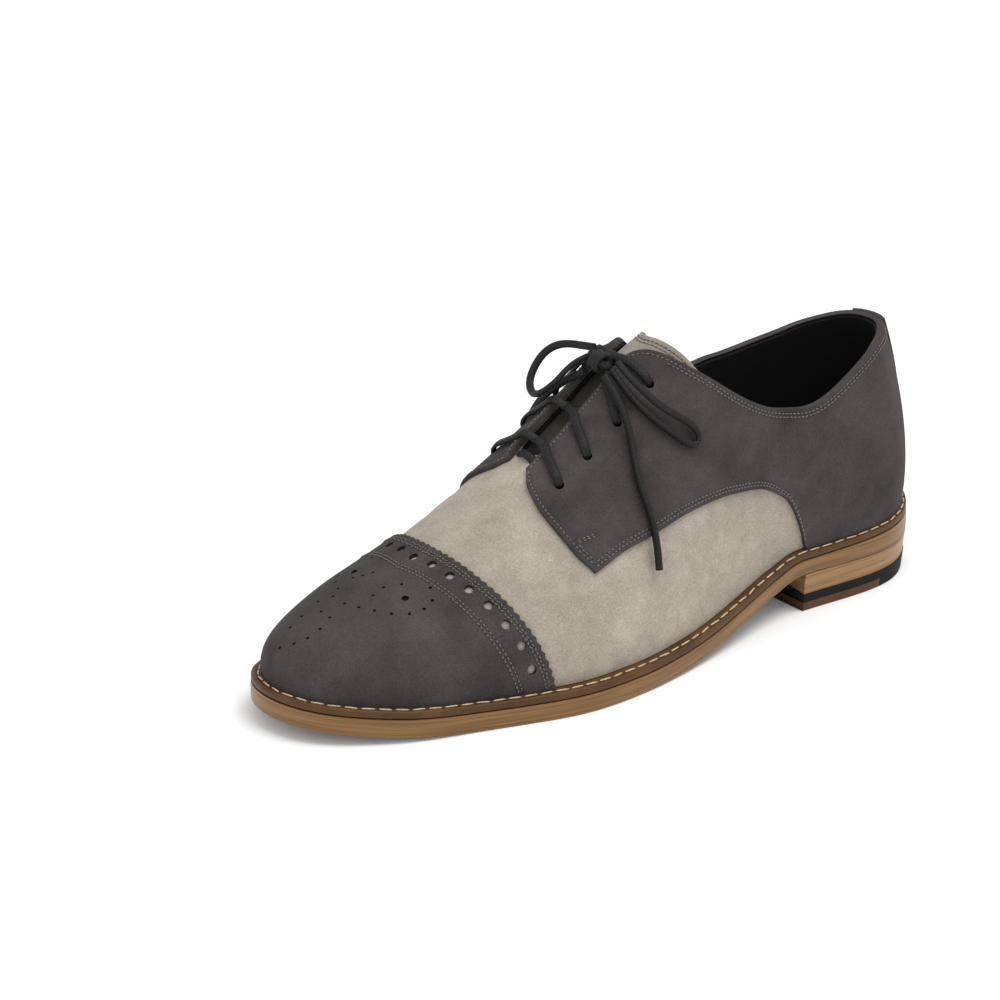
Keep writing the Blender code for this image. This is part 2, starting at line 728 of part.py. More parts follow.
def add_toe_cap():
    """A cap over the toe, from the feather to its rear edge on both sides."""
    rows = 9
    climb = np.linspace(0.0, 1.0, rows)
    end = float(run_at(CAP_EDGE["outer"][-1]))
    base = np.concatenate([toe_runs(), np.linspace(float(run_at(TOE_BACK)), end, 3)[1:]])
    share = (TOE_X - base) / (TOE_X - end)
    count = len(base)
    points, faces = [], []
    bottom, rear = [], []
    for side in (1, -1):
        back = run_at(smooth(CAP_EDGE["up"], CAP_EDGE[SIDE_NAMES[side]], climb))
        runs = TOE_X - share[:, None] * (TOE_X - back)[None, :]
        ups = np.repeat(climb[None, :], count, 0)
        for offset, flip in ((LAP + OVERLAY, side < 0), (LAP, side > 0)):
            layer = on_last(side, runs, ups, offset)
            layer[:, 0, 2] = feather(layer[:, 0, 0])
            layer[0, :] = nose(offset)
            start = len(points)
            points += [tuple(p) for p in layer.reshape(-1, 3)]
            grid = (np.arange(count * rows).reshape(-1, rows) + start).tolist()
            faces += patch_faces(grid, flip)
            bottom.append([column[0] for column in grid])
            rear.append(grid[-1])
    for edge in (bottom, rear):
        faces += patch_faces(edge[:2]) + patch_faces(edge[2:])
    return add_mesh("toe_cap", points, faces, NUBUCK)


def add_quarter(name, side):
    """A quarter with its lacing flap, from the back seam to the flap's front edge."""
    rows = 7
    climb = np.linspace(0.0, 1.0, rows)
    front = run_at(smooth(FLAP_FRONT["share"], FLAP_FRONT["station"], climb))
    end = HEEL_AXIS_X - HEEL_RUN + GAP
    mid_front = float(run_at(FLAP_FRONT["station"][0]))
    wanted = np.concatenate([run_at(FLAP_STATIONS + BODY_STATIONS), heel_runs()[:-1], [mid_front, end]])
    corners = run_at(FOOT_STATIONS)
    kept = [q for q in wanted if np.min(np.abs(corners - q)) > 0.0024]
    middle = np.unique(np.concatenate([kept, corners]))[::-1]
    share = (mid_front - middle) / (mid_front - end)
    runs = front[None, :] + (end - front)[None, :] * share[:, None]
    lower = smooth(run_at(QUARTER_LOWER["station"]), QUARTER_LOWER["up"], runs)
    upper = top_edge(side, runs)
    ups = lower + (upper - lower) * climb[None, :]
    return add_leaf(name, runs, ups, side, LAP, LAP + OVERLAY, NUBUCK)


def add_heel_strip():
    """A small strip over the top of the back seam."""
    rows, columns = 6, 9
    top = float(top_edge(1, HEEL_AXIS_X - HEEL_RUN))
    points, grids = [], []
    under = 2 * LAP + OVERLAY
    for offset in (under, under + STRIP):
        grid = []
        for share in np.linspace(0.0, 1.0, rows):
            half = (HEEL_STRIP_TOP + (HEEL_STRIP_FOOT - HEEL_STRIP_TOP) * share) * HEEL_RUN
            up = top * (1 - HEEL_STRIP_LENGTH * share)
            line = []
            for across in np.linspace(-1.0, 1.0, columns):
                side = 1 if across >= 0 else -1
                q = HEEL_AXIS_X - HEEL_RUN + abs(across) * half
                local = up * float(top_edge(side, q)) / top if share == 0.0 else up
                line.append(len(points))
                points.append(tuple(on_last(side, q, local, offset)))
            grid.append(line)
        grids.append(grid)
    low, high = (np.array(g) for g in grids)
    faces = patch_faces(low.tolist()) + patch_faces(high.tolist(), True)
    rim = [*low[0, :-1], *low[:-1, -1], *low[-1, :0:-1], *low[:0:-1, 0]]
    faces += ring_faces([int(i) for i in rim], [int(i) + low.size for i in rim])
    return add_mesh("heel_strip", points, faces, NUBUCK)


def add_tongue():
    """The tongue under the flaps, from the throat up past their top."""
    rows, columns = 12, 11
    across = np.linspace(-1.0, 1.0, columns)
    points, grids = [], []
    for offset in (-WALL - TONGUE_LIFT - TONGUE, -WALL - TONGUE_LIFT):
        grid = []
        for share in np.linspace(0.0, 1.0, rows):
            line = []
            for a in across:
                side = 1 if a >= 0 else -1
                top = TONGUE_TOP + TONGUE_TOP_ROUND * tongue_bend(a)
                station = TONGUE_FRONT + (top - TONGUE_FRONT) * share
                edge = float(smooth(TONGUE_SIDE["station"], TONGUE_SIDE["up"], station))
                line.append(len(points))
                points.append(tuple(on_last(side, run_at(station), 1 - (1 - edge) * abs(a), offset)))
            grid.append(line)
        grids.append(grid)
    low, high = (np.array(g) for g in grids)
    faces = patch_faces(low.tolist()) + patch_faces(high.tolist(), True)
    rim = [*low[0, :-1], *low[:-1, -1], *low[-1, :0:-1], *low[:0:-1, 0]]
    faces += ring_faces([int(i) for i in rim], [int(i) + low.size for i in rim])
    return add_mesh("tongue", points, faces, SUEDE)


def heel_turn(x):
    return float(turn(np.array(x / LENGTH + 0.5)))


def add_sole():
    """Outsole, welt, insole and the three pieces of the heel."""
    breast = -0.5 * LENGTH + HEEL_LENGTH
    full = np.linspace(0.0, 1.0, 35)
    add_slab("outsole", full, [
        (EDGE_ROUND, underside),
        (0.0, lambda x: underside(x) + EDGE_ROUND),
        (0.0, lambda x: sole_top(x) - EDGE_ROUND),
        (EDGE_ROUND / 2, sole_top),
    ], SOLE_LEATHER)
    inside = WALL + GAP + MARGIN_HEEL / 2
    add_ring("welt", full, [
        (lambda t: WELT_INSET + EDGE_ROUND / 2 + 0 * t, welt_bottom),
        (lambda t: WELT_INSET + 0 * t, lambda x: welt_bottom(x) + EDGE_ROUND),
        (lambda t: WELT_INSET + 0 * t, lambda x: welt_top(x) - EDGE_ROUND),
        (lambda t: WELT_INSET + EDGE_ROUND / 2 + 0 * t, welt_top),
        (lambda t: welt_margin(t) + inside, welt_top),
        (lambda t: welt_margin(t) + inside, welt_bottom),
    ], WELT_LEATHER)
    add_insole(full, inside)
    heel = np.linspace(0.0, heel_turn(breast), 13)
    add_slab("heel_lift", heel, [
        (GAP + HEEL_TAPER * 0.5, lambda x: TOP_PIECE + GAP),
        (GAP, lambda x: underside(x) - GAP),
    ], HEEL_LEATHER, BREAST_HOLLOW)
    rubber = add_slab("heel_rubber", heel, [
        (HEEL_TAPER, lambda x: 0.0),
        (HEEL_TAPER * 0.5, lambda x: TOP_PIECE),
    ], RUBBER, BREAST_HOLLOW)
    insert_back = breast - INSERT_LENGTH
    add_boolean(rubber, add_pocket(insert_back, breast), "DIFFERENCE")
    taper = HEEL_TAPER * (1 - 0.5 * INSERT_HEIGHT / TOP_PIECE)
    add_slab("heel_leather_insert", np.linspace(heel_turn(insert_back), heel_turn(breast), 6), [
        (HEEL_TAPER, lambda x: 0.0),
        (taper, lambda x: INSERT_HEIGHT),
    ], HEEL_LEATHER, BREAST_HOLLOW)


def add_insole(turns, inside):
    """Insole with its filling, inside the welt and the upper's wall."""
    edge = welt_margin(turns) + inside + GAP
    return add_slab("insole", turns, [
        (edge, lambda x: sole_top(x) + GAP),
        (edge, lambda x: feather(x) + INSOLE),
    ], LINING)


def add_pocket(back, front):
    """The room in the top piece for its leather insert."""
    count = 7
    ys = np.linspace(-WIDTH / 2, WIDTH / 2, count)
    half = WIDTH * 0.29
    bow = [BREAST_HOLLOW * max(0.0, 1 - ((y - BACK_Y) / half) ** 2) for y in ys]
    points = []
    for z in (-TOP_PIECE, INSERT_HEIGHT + GAP):
        points += [(back - GAP - b, y, z) for y, b in zip(ys, bow)]
        points += [(front + TOP_PIECE, y, z) for y in ys[::-1]]
    ring = list(range(2 * count))
    upper = [i + 2 * count for i in ring]
    faces = ring_faces(ring, upper) + [tuple(ring), tuple(upper[::-1])]
    return as_guide(add_mesh("insert_pocket", points, faces, RUBBER))


def frame_at(side, run, up):
    """A point of the last and its outward normal."""
    point = on_last(side, run, up)
    return Vector(point), Vector(on_last(side, run, up, 1.0) - point).normalized()


def add_eyelet_cutter(side):
    """Eight-sided pins through one flap, one for each eyelet."""
    points, faces = [], []
    sides = 8
    for station in EYELET_STATIONS:
        run = float(run_at(station))
        centre, normal = frame_at(side, run, eyelet_up(side, run))
        across = normal.orthogonal().normalized()
        other = normal.cross(across)
        start = len(points)
        for depth in (-WALL * 2.2, OVERLAY * 3.2):
            for k in range(sides):
                angle = 2 * math.pi * (k + 0.5) / sides
                rim = across * math.cos(angle) + other * math.sin(angle)
                points.append(tuple(centre + normal * depth + rim * EYELET / 2))
        ring = list(range(start, start + sides))
        far = [i + sides for i in ring]
        faces += ring_faces(ring, far) + [tuple(ring), tuple(far[::-1])]
    return as_guide(add_mesh("eyelet_pins_" + SIDE_NAMES[side], points, faces, RUBBER))


def smooth_route(route, spacing):
    """Points a fixed spacing apart on a smooth curve through a route."""
    route = np.array(route, float)
    chord = np.concatenate([[0.0], np.cumsum(np.linalg.norm(np.diff(route, axis=0), axis=1))])
    fine = np.linspace(0.0, chord[-1], 600)
    curve = np.stack([natural(chord, route[:, axis], fine) for axis in range(3)], -1)
    run = np.concatenate([[0.0], np.cumsum(np.linalg.norm(np.diff(curve, axis=0), axis=1))])
    count = max(3, int(round(run[-1] / spacing)) + 1)
    even = np.linspace(0.0, run[-1], count)
    return np.stack([np.interp(even, run, curve[:, axis]) for axis in range(3)], -1)


def tube(path, radius, sides=6):
    """Points and faces of a capped tube along a path."""
    points, rings = [], []
    across = None
    for i, centre in enumerate(path):
        ahead = Vector(path[min(i + 1, len(path) - 1)] - path[max(i - 1, 0)]).normalized()
        across = ahead.orthogonal() if across is None else across - ahead * across.dot(ahead)
        across.normalize()
        other = ahead.cross(across)
        start = len(points)
        for k in range(sides):
            angle = 2 * math.pi * k / sides
            rim = across * math.cos(angle) + other * math.sin(angle)
            points.append(tuple(Vector(centre) + rim * radius))
        rings.append(list(range(start, start + sides)))
    faces = [tuple(rings[0]), tuple(rings[-1][::-1])]
    for near, far in zip(rings[:-1], rings[1:]):
        faces += ring_faces(near, far)
    return points, faces


def lace_height():
    """Offset of a lace's centre where it lies on a flap."""
    return LAP + OVERLAY + LIFT + LACE / 2


def gap_inside():
    """Share of the half gap that a lace's centre may take between the facing edges."""
    return 1 - (LACE / 2 + 2 * GAP) / (FACING_GAP / 2)


def over_gap(run, share, offset):
    """A point over the lacing gap, share -1 at the medial facing edge to 1 at the lateral one."""
    y = FACING_MIDDLE + share * FACING_GAP / 2
    side = 1 if y >= float(section("ridge", run)) * WIDTH else -1
    up = float(up_where(side, run, lambda p: side * (y - p[:, 1]))[0])
    return on_last(side, run, up, offset)


def crossing_route(side, start, end):
    """From an eyelet over its flap's edge, ending in the gap at the far edge."""
    q0, q1 = float(run_at(start)), float(run_at(end))
    mid = q0 + (q1 - q0) * CROSSING_RISE
    up = eyelet_up(side, q0)
    near = float(facing_up(side, mid)[0])
    high = lace_height()
    arched = high + LACE * CROSSING_ARCH
    over = [on_last(side, q0 + (mid - q0) * ran, up + (near - up) * rose, arched) for ran, rose in CROSSING_SHARES]
    return [
        on_last(side, q0, up, high),
        *over,
        over_gap(mid, 0.0, high * 0.8),
        over_gap(mid + (q1 - mid) * CROSSING_MEETS, -side * gap_inside(), high * 0.2),
    ]


def add_crossing(name, routes):
    """Two runs of lace that meet over the gap, joined as one solid."""
    pieces = []
    for k, route in enumerate(routes):
        points, faces = tube(smooth_route(route, LACE * 1.6), LACE / 2)
        pieces.append(add_mesh(name if k == 0 else name + "_run", points, faces, LACE_WAX))
    if len(pieces) > 1:
        add_boolean(pieces[0], as_guide(pieces[1]), "UNION")
    return pieces[0]


def add_laces():
    """The bottom bar and the crossings between the flaps, the last one under the knot."""
    first = float(run_at(EYELET_STATIONS[0]))
    level = LIFT + LACE / 2
    inside = gap_inside()
    bar = [over_gap(first, share, level) for share in (inside, 0.0, -inside)]
    add_crossing("lace_bar", [bar])
    stops = [*EYELET_STATIONS, KNOT_STATION]
    for k, (start, end) in enumerate(zip(stops[:-1], stops[1:])):
        add_crossing("lace_crossing_%d" % (k + 1), [crossing_route(side, start, end) for side in (1, -1)])


def add_knot():
    """The knot's lump: a rounded block with a furrow on either side of its middle turn."""
    up = Vector(KNOT_UP).normalized()
    toeward = Vector(KNOT_TOEWARD)
    toeward = (toeward - up * toeward.dot(up)).normalized()
    across = up.cross(toeward)
    middle = Vector(KNOT_MIDDLE)
    rings, sides = 7, 12
    furrow = 0.07
    points, faces = [], []
    for i in range(rings):
        along = -math.cos(math.pi * (i + 0.35) / (rings - 0.3))
        swell = (1 - abs(along) ** 3) ** (1 / 3) * (1 - furrow + furrow * math.cos(3 * math.pi * along))
        start = len(points)
        for k in range(sides):
            angle = 2 * math.pi * k / sides
            x, y = math.cos(angle), math.sin(angle)
            rim = toeward * x * KNOT_WIDTH / 2 + up * y * KNOT_HEIGHT / 2
            points.append(tuple(middle + across * along * KNOT_LENGTH / 2 + rim * swell))
        ring = list(range(start, start + sides))
        if i:
            faces += ring_faces([j - sides for j in ring], ring)
        if i in (0, rings - 1):
            faces.append(tuple(ring))
    return add_mesh("lace_knot", points, faces, LACE_WAX)


def add_cord(name, route):
    """A free stretch of lace as a round tube along its route."""
    curve = bpy.data.curves.new(name, "CURVE")
    curve.dimensions = "3D"
    curve.bevel_depth = CORD / 2
    curve.bevel_resolution = 2
    curve.use_fill_caps = True
    path = smooth_route(route, CORD * 2.5)
    line = curve.splines.new("POLY")
    line.points.add(len(path) - 1)
    for point, place in zip(line.points, path):
        point.co = (*place, 1.0)
    return add_object(name, curve, LACE_WAX)


def add_bow():
    add_knot()
    add_cord("lace_loop_lateral", LOOP_LATERAL)
    add_cord("lace_loop_medial", LOOP_MEDIAL)
    add_cord("lace_end_lateral", END_LATERAL)
    add_cord("lace_end_medial", END_MEDIAL)


def build():
    for piece in list(bpy.data.objects):
        bpy.data.objects.remove(piece, do_unlink=True)
    add_sole()
    upper = add_upper()
    add_toe_cap()
    quarters = {1: add_quarter("quarter_lateral", 1), -1: add_quarter("quarter_medial", -1)}
    for side, quarter in quarters.items():
        pins = add_eyelet_cutter(side)
        add_boolean(quarter, pins, "DIFFERENCE")
        add_boolean(upper, pins, "DIFFERENCE")
    add_heel_strip()
    add_tongue()
    add_laces()
    add_bow()


build()
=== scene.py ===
"""Looks of a left spectator shoe: grey nubuck cap and quarters on a pale suede vamp, leather sole.

Metres, +X to the toe, +Y to the wearer's left, +Z up. Panels, stitches and holes are placed on the last by
station along the shoe and up its wall, as the solids are.
"""

import math

import bmesh
import bpy
import numpy as np
from mathutils import Matrix, Vector


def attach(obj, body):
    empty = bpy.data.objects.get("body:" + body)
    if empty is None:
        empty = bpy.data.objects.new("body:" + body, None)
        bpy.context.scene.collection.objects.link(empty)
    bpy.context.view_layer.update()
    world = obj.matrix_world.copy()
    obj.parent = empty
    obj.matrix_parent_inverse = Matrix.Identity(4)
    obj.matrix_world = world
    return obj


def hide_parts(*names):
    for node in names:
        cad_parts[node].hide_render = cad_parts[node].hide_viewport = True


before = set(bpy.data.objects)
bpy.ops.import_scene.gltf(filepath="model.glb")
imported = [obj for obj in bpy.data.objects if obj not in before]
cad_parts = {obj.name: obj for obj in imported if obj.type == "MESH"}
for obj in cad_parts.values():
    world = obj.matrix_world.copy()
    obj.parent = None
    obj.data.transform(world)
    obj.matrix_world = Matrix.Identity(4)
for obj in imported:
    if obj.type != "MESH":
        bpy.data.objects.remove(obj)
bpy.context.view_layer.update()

# Driving sizes of the sole
LENGTH = 0.305
WIDTH = 0.1106
HEEL_HEIGHT = 0.016
HEEL_LENGTH = 0.0745
HEEL_TAPER = 0.0014
TOE_SPRING = 0.0065
SOLE_FORE = 0.0072
SOLE_WAIST = 0.0060
SOLE_BACK = 0.0095
TOP_PIECE = 0.0073
INSERT_HEIGHT = 0.0037
INSERT_LENGTH = 0.041
BREAST_HOLLOW = 0.002
EDGE_ROUND = 0.0008

# Driving sizes of the welt and the insole
WELT = 0.0030
WELT_INSET = 0.0002
MARGIN_FORE = 0.0055
MARGIN_HEEL = 0.0040
INSOLE = 0.0034

# Driving sizes of the upper
UPPER_HEIGHT = 0.090
HEEL_RADIUS = 0.033
WALL = 0.0020
OVERLAY = 0.0014
STRIP = 0.0010
TONGUE = 0.0018
FACING_GAP = 0.0088
FACING_MIDDLE = -0.0052
EYELET = 0.0044
EYELET_INSET = 0.0165

# Clearances
GAP = 0.0003
LAP = 0.0004
TONGUE_LIFT = 0.0006


def table(columns, rows):
    """Named columns of a short table, as arrays."""
    return dict(zip(columns.split(), np.array(rows, float).T))


# Sole edge: station as a share of LENGTH from the back, half widths as shares of WIDTH
OUTLINE = table("station outer inner", [
    (0.000, -0.021, -0.021),
    (0.030, 0.164, -0.206),
    (0.080, 0.262, -0.302),
    (0.140, 0.293, -0.333),
    (0.220, 0.291, -0.327),
    (0.280, 0.298, -0.312),
    (0.360, 0.352, -0.290),
    (0.450, 0.420, -0.306),
    (0.530, 0.470, -0.370),
    (0.600, 0.496, -0.432),
    (0.660, 0.496, -0.478),
    (0.730, 0.452, -0.500),
    (0.800, 0.396, -0.478),
    (0.870, 0.341, -0.414),
    (0.930, 0.256, -0.328),
    (0.970, 0.168, -0.250),
    (1.000, -0.044, -0.044),
])

# Underside of the sole: rise as shares of HEEL_HEIGHT and TOE_SPRING, mix of the three thicknesses
ARCH = table("station heel toe back waist fore", [
    (0.000, 0.94, 0.00, 1.0, 0.0, 0.0),
    (0.245, 1.00, 0.00, 0.0, 1.0, 0.0),
    (0.300, 0.77, 0.00, 0.0, 1.0, 0.0),
    (0.370, 0.47, 0.00, 0.0, 0.9, 0.1),
    (0.440, 0.20, 0.00, 0.0, 0.6, 0.4),
    (0.500, 0.06, 0.00, 0.0, 0.2, 0.8),
    (0.560, 0.00, 0.00, 0.0, 0.0, 1.0),
    (0.740, 0.00, 0.00, 0.0, 0.0, 1.0),
    (0.800, 0.00, 0.06, 0.0, 0.0, 1.0),
    (0.860, 0.00, 0.22, 0.0, 0.0, 1.0),
    (0.930, 0.00, 0.55, 0.0, 0.0, 1.0),
    (1.000, 0.00, 1.00, 0.0, 0.0, 1.0),
])

# Last: station 0 to 1 from the heel's side to the toe and 0 to -1 round to the back seam.
# Crest as a share of UPPER_HEIGHT above the feather, ridge and flare as shares of WIDTH,
# rise as a share of the crest, flat as a share of the half width.
SECTIONS = table("station crest ridge rise_out rise_in flare_out flare_in flat_out flat_in", [
    (-1.000, 1.280, -0.021, 0.36, 0.36, 0.085, 0.085, 0.18, 0.18),
    (-0.473, 1.280, -0.021, 0.34, 0.34, 0.058, 0.058, 0.38, 0.38),
    (0.000, 1.285, -0.021, 0.33, 0.33, 0.022, 0.024, 0.74, 0.74),
    (0.116, 1.270, -0.021, 0.32, 0.36, 0.012, 0.027, 0.78, 0.73),
    (0.211, 1.250, -0.022, 0.32, 0.40, 0.009, 0.054, 0.73, 0.67),
    (0.307, 1.222, -0.030, 0.34, 0.44, 0.014, 0.077, 0.63, 0.62),
    (0.394, 1.114, -0.050, 0.36, 0.52, 0.018, 0.072, 0.58, 0.70),
    (0.470, 0.952, -0.070, 0.38, 0.56, 0.023, 0.054, 0.58, 0.72),
    (0.554, 0.776, -0.079, 0.40, 0.54, 0.027, 0.041, 0.60, 0.70),
    (0.623, 0.645, -0.079, 0.42, 0.48, 0.032, 0.036, 0.62, 0.68),
    (0.699, 0.512, -0.072, 0.44, 0.46, 0.032, 0.036, 0.64, 0.68),
    (0.775, 0.412, -0.064, 0.46, 0.48, 0.032, 0.034, 0.68, 0.72),
    (0.832, 0.356, -0.057, 0.50, 0.52, 0.027, 0.027, 0.70, 0.74),
    (0.890, 0.296, -0.050, 0.54, 0.55, 0.023, 0.023, 0.72, 0.74),
    (0.935, 0.244, -0.046, 0.56, 0.56, 0.018, 0.018, 0.72, 0.74),
    (0.968, 0.190, -0.044, 0.56, 0.56, 0.011, 0.011, 0.72, 0.72),
    (0.987, 0.136, -0.044, 0.56, 0.56, 0.005, 0.005, 0.70, 0.70),
    (0.996, 0.086, -0.044, 0.56, 0.56, 0.003, 0.003, 0.68, 0.68),
])

# Topline height above the feather as a share of UPPER_HEIGHT
TOPLINE = table("station outer inner", [
    (-1.000, 0.815, 0.815),
    (-0.741, 0.820, 0.811),
    (-0.444, 0.824, 0.788),
    (-0.200, 0.824, 0.762),
    (-0.060, 0.812, 0.748),
    (0.000, 0.784, 0.738),
    (0.025, 0.750, 0.733),
    (0.053, 0.706, 0.728),
    (0.080, 0.668, 0.722),
    (0.111, 0.638, 0.717),
    (0.140, 0.635, 0.714),
    (0.176, 0.674, 0.720),
    (0.201, 0.716, 0.740),
    (0.239, 0.797, 0.786),
    (0.268, 0.868, 0.836),
    (0.293, 0.940, 0.904),
    (0.318, 1.006, 0.978),
    (0.338, 1.050, 1.034),
    (0.360, 1.105, 1.100),
    (0.380, 1.200, 1.200),
])

# Lower edge of a quarter, up the wall from 0 at the feather to 1 on the ridge
QUARTER_LOWER = table("station up", [
    (-1.000, 0.000),
    (0.100, 0.000),
    (0.136, 0.000),
    (0.142, 0.050),
    (0.156, 0.128),
    (0.170, 0.178),
    (0.186, 0.212),
    (0.229, 0.272),
    (0.285, 0.310),
    (0.370, 0.354),
    (0.461, 0.389),
    (0.527, 0.415),
    (0.571, 0.416),
])

# Front edge of a lacing flap, from its lower tip to the throat corner
FLAP_FRONT = table("share station", [
    (0.00, 0.571),
    (0.23, 0.590),
    (0.62, 0.600),
    (0.86, 0.592),
    (1.00, 0.574),
])

# Rear edge of the toe cap
CAP_EDGE = table("up outer inner", [
    (0.000, 0.665, 0.657),
    (0.259, 0.683, 0.676),
    (0.494, 0.703, 0.699),
    (0.742, 0.721, 0.720),
    (0.984, 0.729, 0.729),
    (1.000, 0.729, 0.729),
])

# Tongue: its half width down from the ridge, and its top edge
TONGUE_SIDE = table("station up", [
    (0.200, 0.480),
    (0.285, 0.540),
    (0.350, 0.600),
    (0.430, 0.690),
    (0.520, 0.750),
    (0.600, 0.800),
])
TONGUE_TOP = 0.353
TONGUE_TOP_ROUND = -0.090
TONGUE_TOP_POWER = 1.2
TONGUE_TOP_SOFTNESS = 0.12
TONGUE_FRONT = 0.572
# Station past which the tongue, down in the lacing gap, is painted dark as painted shade
GAP_SHADE_FROM = 0.392

# Facing, throat, eyelets and knot by station, and the heel strip in shares of the heel's run and height
FACING_START = 0.181
THROAT = 0.556
THROAT_ROUND = 0.022
EYELET_STATIONS = (0.559, 0.507, 0.451, 0.391)
KNOT_STATION = 0.424
CROSSING_RISE = 0.42
HEEL_STRIP_TOP = 0.24
HEEL_STRIP_FOOT = 0.13
HEEL_STRIP_LENGTH = 0.46

# Collar and facing line: the last station it is worked out for, and the rounding of its corners
EDGE_END = 0.62
CORNER_SOFTNESS = 0.035
CORNER_SPREAD = 5.5
CORNER_REACH = 14

# Knot: its middle, then its up direction and the direction down the ridge to the toe
KNOT_MIDDLE = (0.0015, 0.0004, 0.1131)
KNOT_UP = (0.633, 0.183, 0.752)
KNOT_TOEWARD = (0.773, -0.069, -0.631)

# Turns of the knot: shift and lean to the side, width and height; then the core's way through them
KNOT_TURNS = ((-0.0019, 0.18, 0.0088, 0.0066), (0.0014, -0.10, 0.0096, 0.0072))
KNOT_CORE = (
    (-0.0050, -0.0012, 0.0006),
    (-0.0030, -0.0004, 0.0004),
    (0.0000, 0.0006, 0.0000),
    (0.0030, 0.0004, -0.0004),
    (0.0050, -0.0010, -0.0008),
)

# Routes of the bow's loops and ends, each from the knot and in metres
LOOP_LATERAL = (
    (0.0004, 0.0064, 0.1110),
    (-0.0002, 0.0098, 0.1078),
    (-0.0016, 0.0135, 0.1038),
    (-0.0046, 0.0200, 0.0977),
    (-0.0096, 0.0257, 0.0916),
    (-0.0150, 0.0293, 0.0867),
    (-0.0193, 0.0310, 0.0838),
    (-0.0226, 0.0311, 0.0843),
    (-0.0228, 0.0300, 0.0876),
    (-0.0180, 0.0273, 0.0931),
    (-0.0100, 0.0223, 0.0994),
    (-0.0056, 0.0166, 0.1054),
    (-0.0031, 0.0106, 0.1106),
    (-0.0024, 0.0066, 0.1136),
)
LOOP_MEDIAL = (
    (-0.0012, -0.0056, 0.1164),
    (0.0000, -0.0120, 0.1156),
    (0.0023, -0.0200, 0.1144),
    (0.0051, -0.0260, 0.1110),
    (0.0087, -0.0290, 0.1050),
    (0.0124, -0.0280, 0.0990),
    (0.0151, -0.0226, 0.0966),
    (0.0156, -0.0165, 0.0990),
    (0.0120, -0.0126, 0.1036),
    (0.0066, -0.0106, 0.1090),
    (0.0034, -0.0086, 0.1116),
    (0.0018, -0.0060, 0.1134),
)
END_LATERAL = (
    (0.0036, 0.0064, 0.1094),
    (0.0036, 0.0106, 0.1058),
    (0.0030, 0.0170, 0.0980),
    (0.0045, 0.0247, 0.0858),
    (0.0067, 0.0320, 0.0744),
    (0.0064, 0.0381, 0.0637),
    (0.0066, 0.0424, 0.0528),
    (0.0075, 0.0451, 0.0439),
)
END_MEDIAL = (
    (0.0046, -0.0042, 0.1082),
    (0.0056, -0.0104, 0.1046),
    (0.0080, -0.0171, 0.0995),
    (0.0096, -0.0237, 0.0932),
    (0.0102, -0.0290, 0.0858),
    (0.0102, -0.0333, 0.0775),
    (0.0102, -0.0364, 0.0688),
    (0.0106, -0.0381, 0.0612),
    (0.0113, -0.0392, 0.0531),
)

SIDE_NAMES = {1: "outer", -1: "inner"}


def smooth(xs, ys, x):
    """Monotone cubic through a table, flat past its ends."""
    x = np.clip(np.asarray(x, float), xs[0], xs[-1])
    step = np.diff(xs)
    slope = np.diff(ys) / step
    tangent = np.zeros(len(xs))
    tangent[0], tangent[-1] = slope[0], slope[-1]
    for i in range(1, len(xs) - 1):
        if slope[i - 1] * slope[i] > 0:
            before = 2 * step[i] + step[i - 1]
            after = step[i] + 2 * step[i - 1]
            tangent[i] = (before + after) / (before / slope[i - 1] + after / slope[i])
    k = np.clip(np.searchsorted(xs, x) - 1, 0, len(xs) - 2)
    s = (x - xs[k]) / step[k]
    value = (1 + 2 * s) * (1 - s) ** 2 * ys[k] + s * s * (3 - 2 * s) * ys[k + 1]
    return value + step[k] * (s * (1 - s) ** 2 * tangent[k] + s * s * (s - 1) * tangent[k + 1])


def natural(xs, ys, x):
    """Natural cubic spline, which carries a round end through the last rows of an outline."""
    count = len(xs)
    step = np.diff(xs)
    matrix = np.eye(count)
    right = np.zeros(count)
    for i in range(1, count - 1):
        matrix[i, i - 1:i + 2] = step[i - 1], 2 * (step[i - 1] + step[i]), step[i]
        right[i] = 6 * ((ys[i + 1] - ys[i]) / step[i] - (ys[i] - ys[i - 1]) / step[i - 1])
    bend = np.linalg.solve(matrix, right)
    x = np.asarray(x, float)
    k = np.clip(np.searchsorted(xs, x) - 1, 0, count - 2)
    a = (xs[k + 1] - x) / step[k]
    b = (x - xs[k]) / step[k]
    curve = (a ** 3 - a) * bend[k] + (b ** 3 - b) * bend[k + 1]
    return a * ys[k] + b * ys[k + 1] + curve * step[k] ** 2 / 6


def path_lengths(points):
    """Length along a path up to each of its points."""
    return np.append(0.0, np.cumsum(np.linalg.norm(np.diff(points, axis=0), axis=1)))


def read_path(at, run, path):
    """A path read at lengths along it."""
    return np.stack([np.interp(at, run, path[:, axis]) for axis in range(3)], -1)


def bell(reach, width):
    """Weights that even out samples up to reach to each side."""
    window = np.exp(-0.5 * (np.arange(-reach, reach + 1) / width) ** 2)
    return window / window.sum()


def turn(share):
    """Half turn round the outline for a station, 0 at the back and 1 at the toe."""
    return np.arccos(1 - 2 * np.clip(share, 0.0, 1.0)) / math.pi


def sole_edge(t, side):
    """Plan of the sole's edge after a half turn t."""
    y = natural(turn(OUTLINE["station"]), OUTLINE[SIDE_NAMES[side]] * WIDTH, t)
    return -0.5 * LENGTH * np.cos(math.pi * np.asarray(t, float)), y


def inset_edge(t, side, inset):
    """Plan of the sole's edge moved inward by inset."""
    t = np.asarray(t, float)
    eps = 1e-4
    x0, y0 = sole_edge(np.clip(t - eps, 0, 1), side)
    x1, y1 = sole_edge(np.clip(t + eps, 0, 1), side)
    x, y = sole_edge(t, side)
    run = np.hypot(x1 - x0, y1 - y0)
    return x + side * (y1 - y0) / run * inset, y - side * (x1 - x0) / run * inset


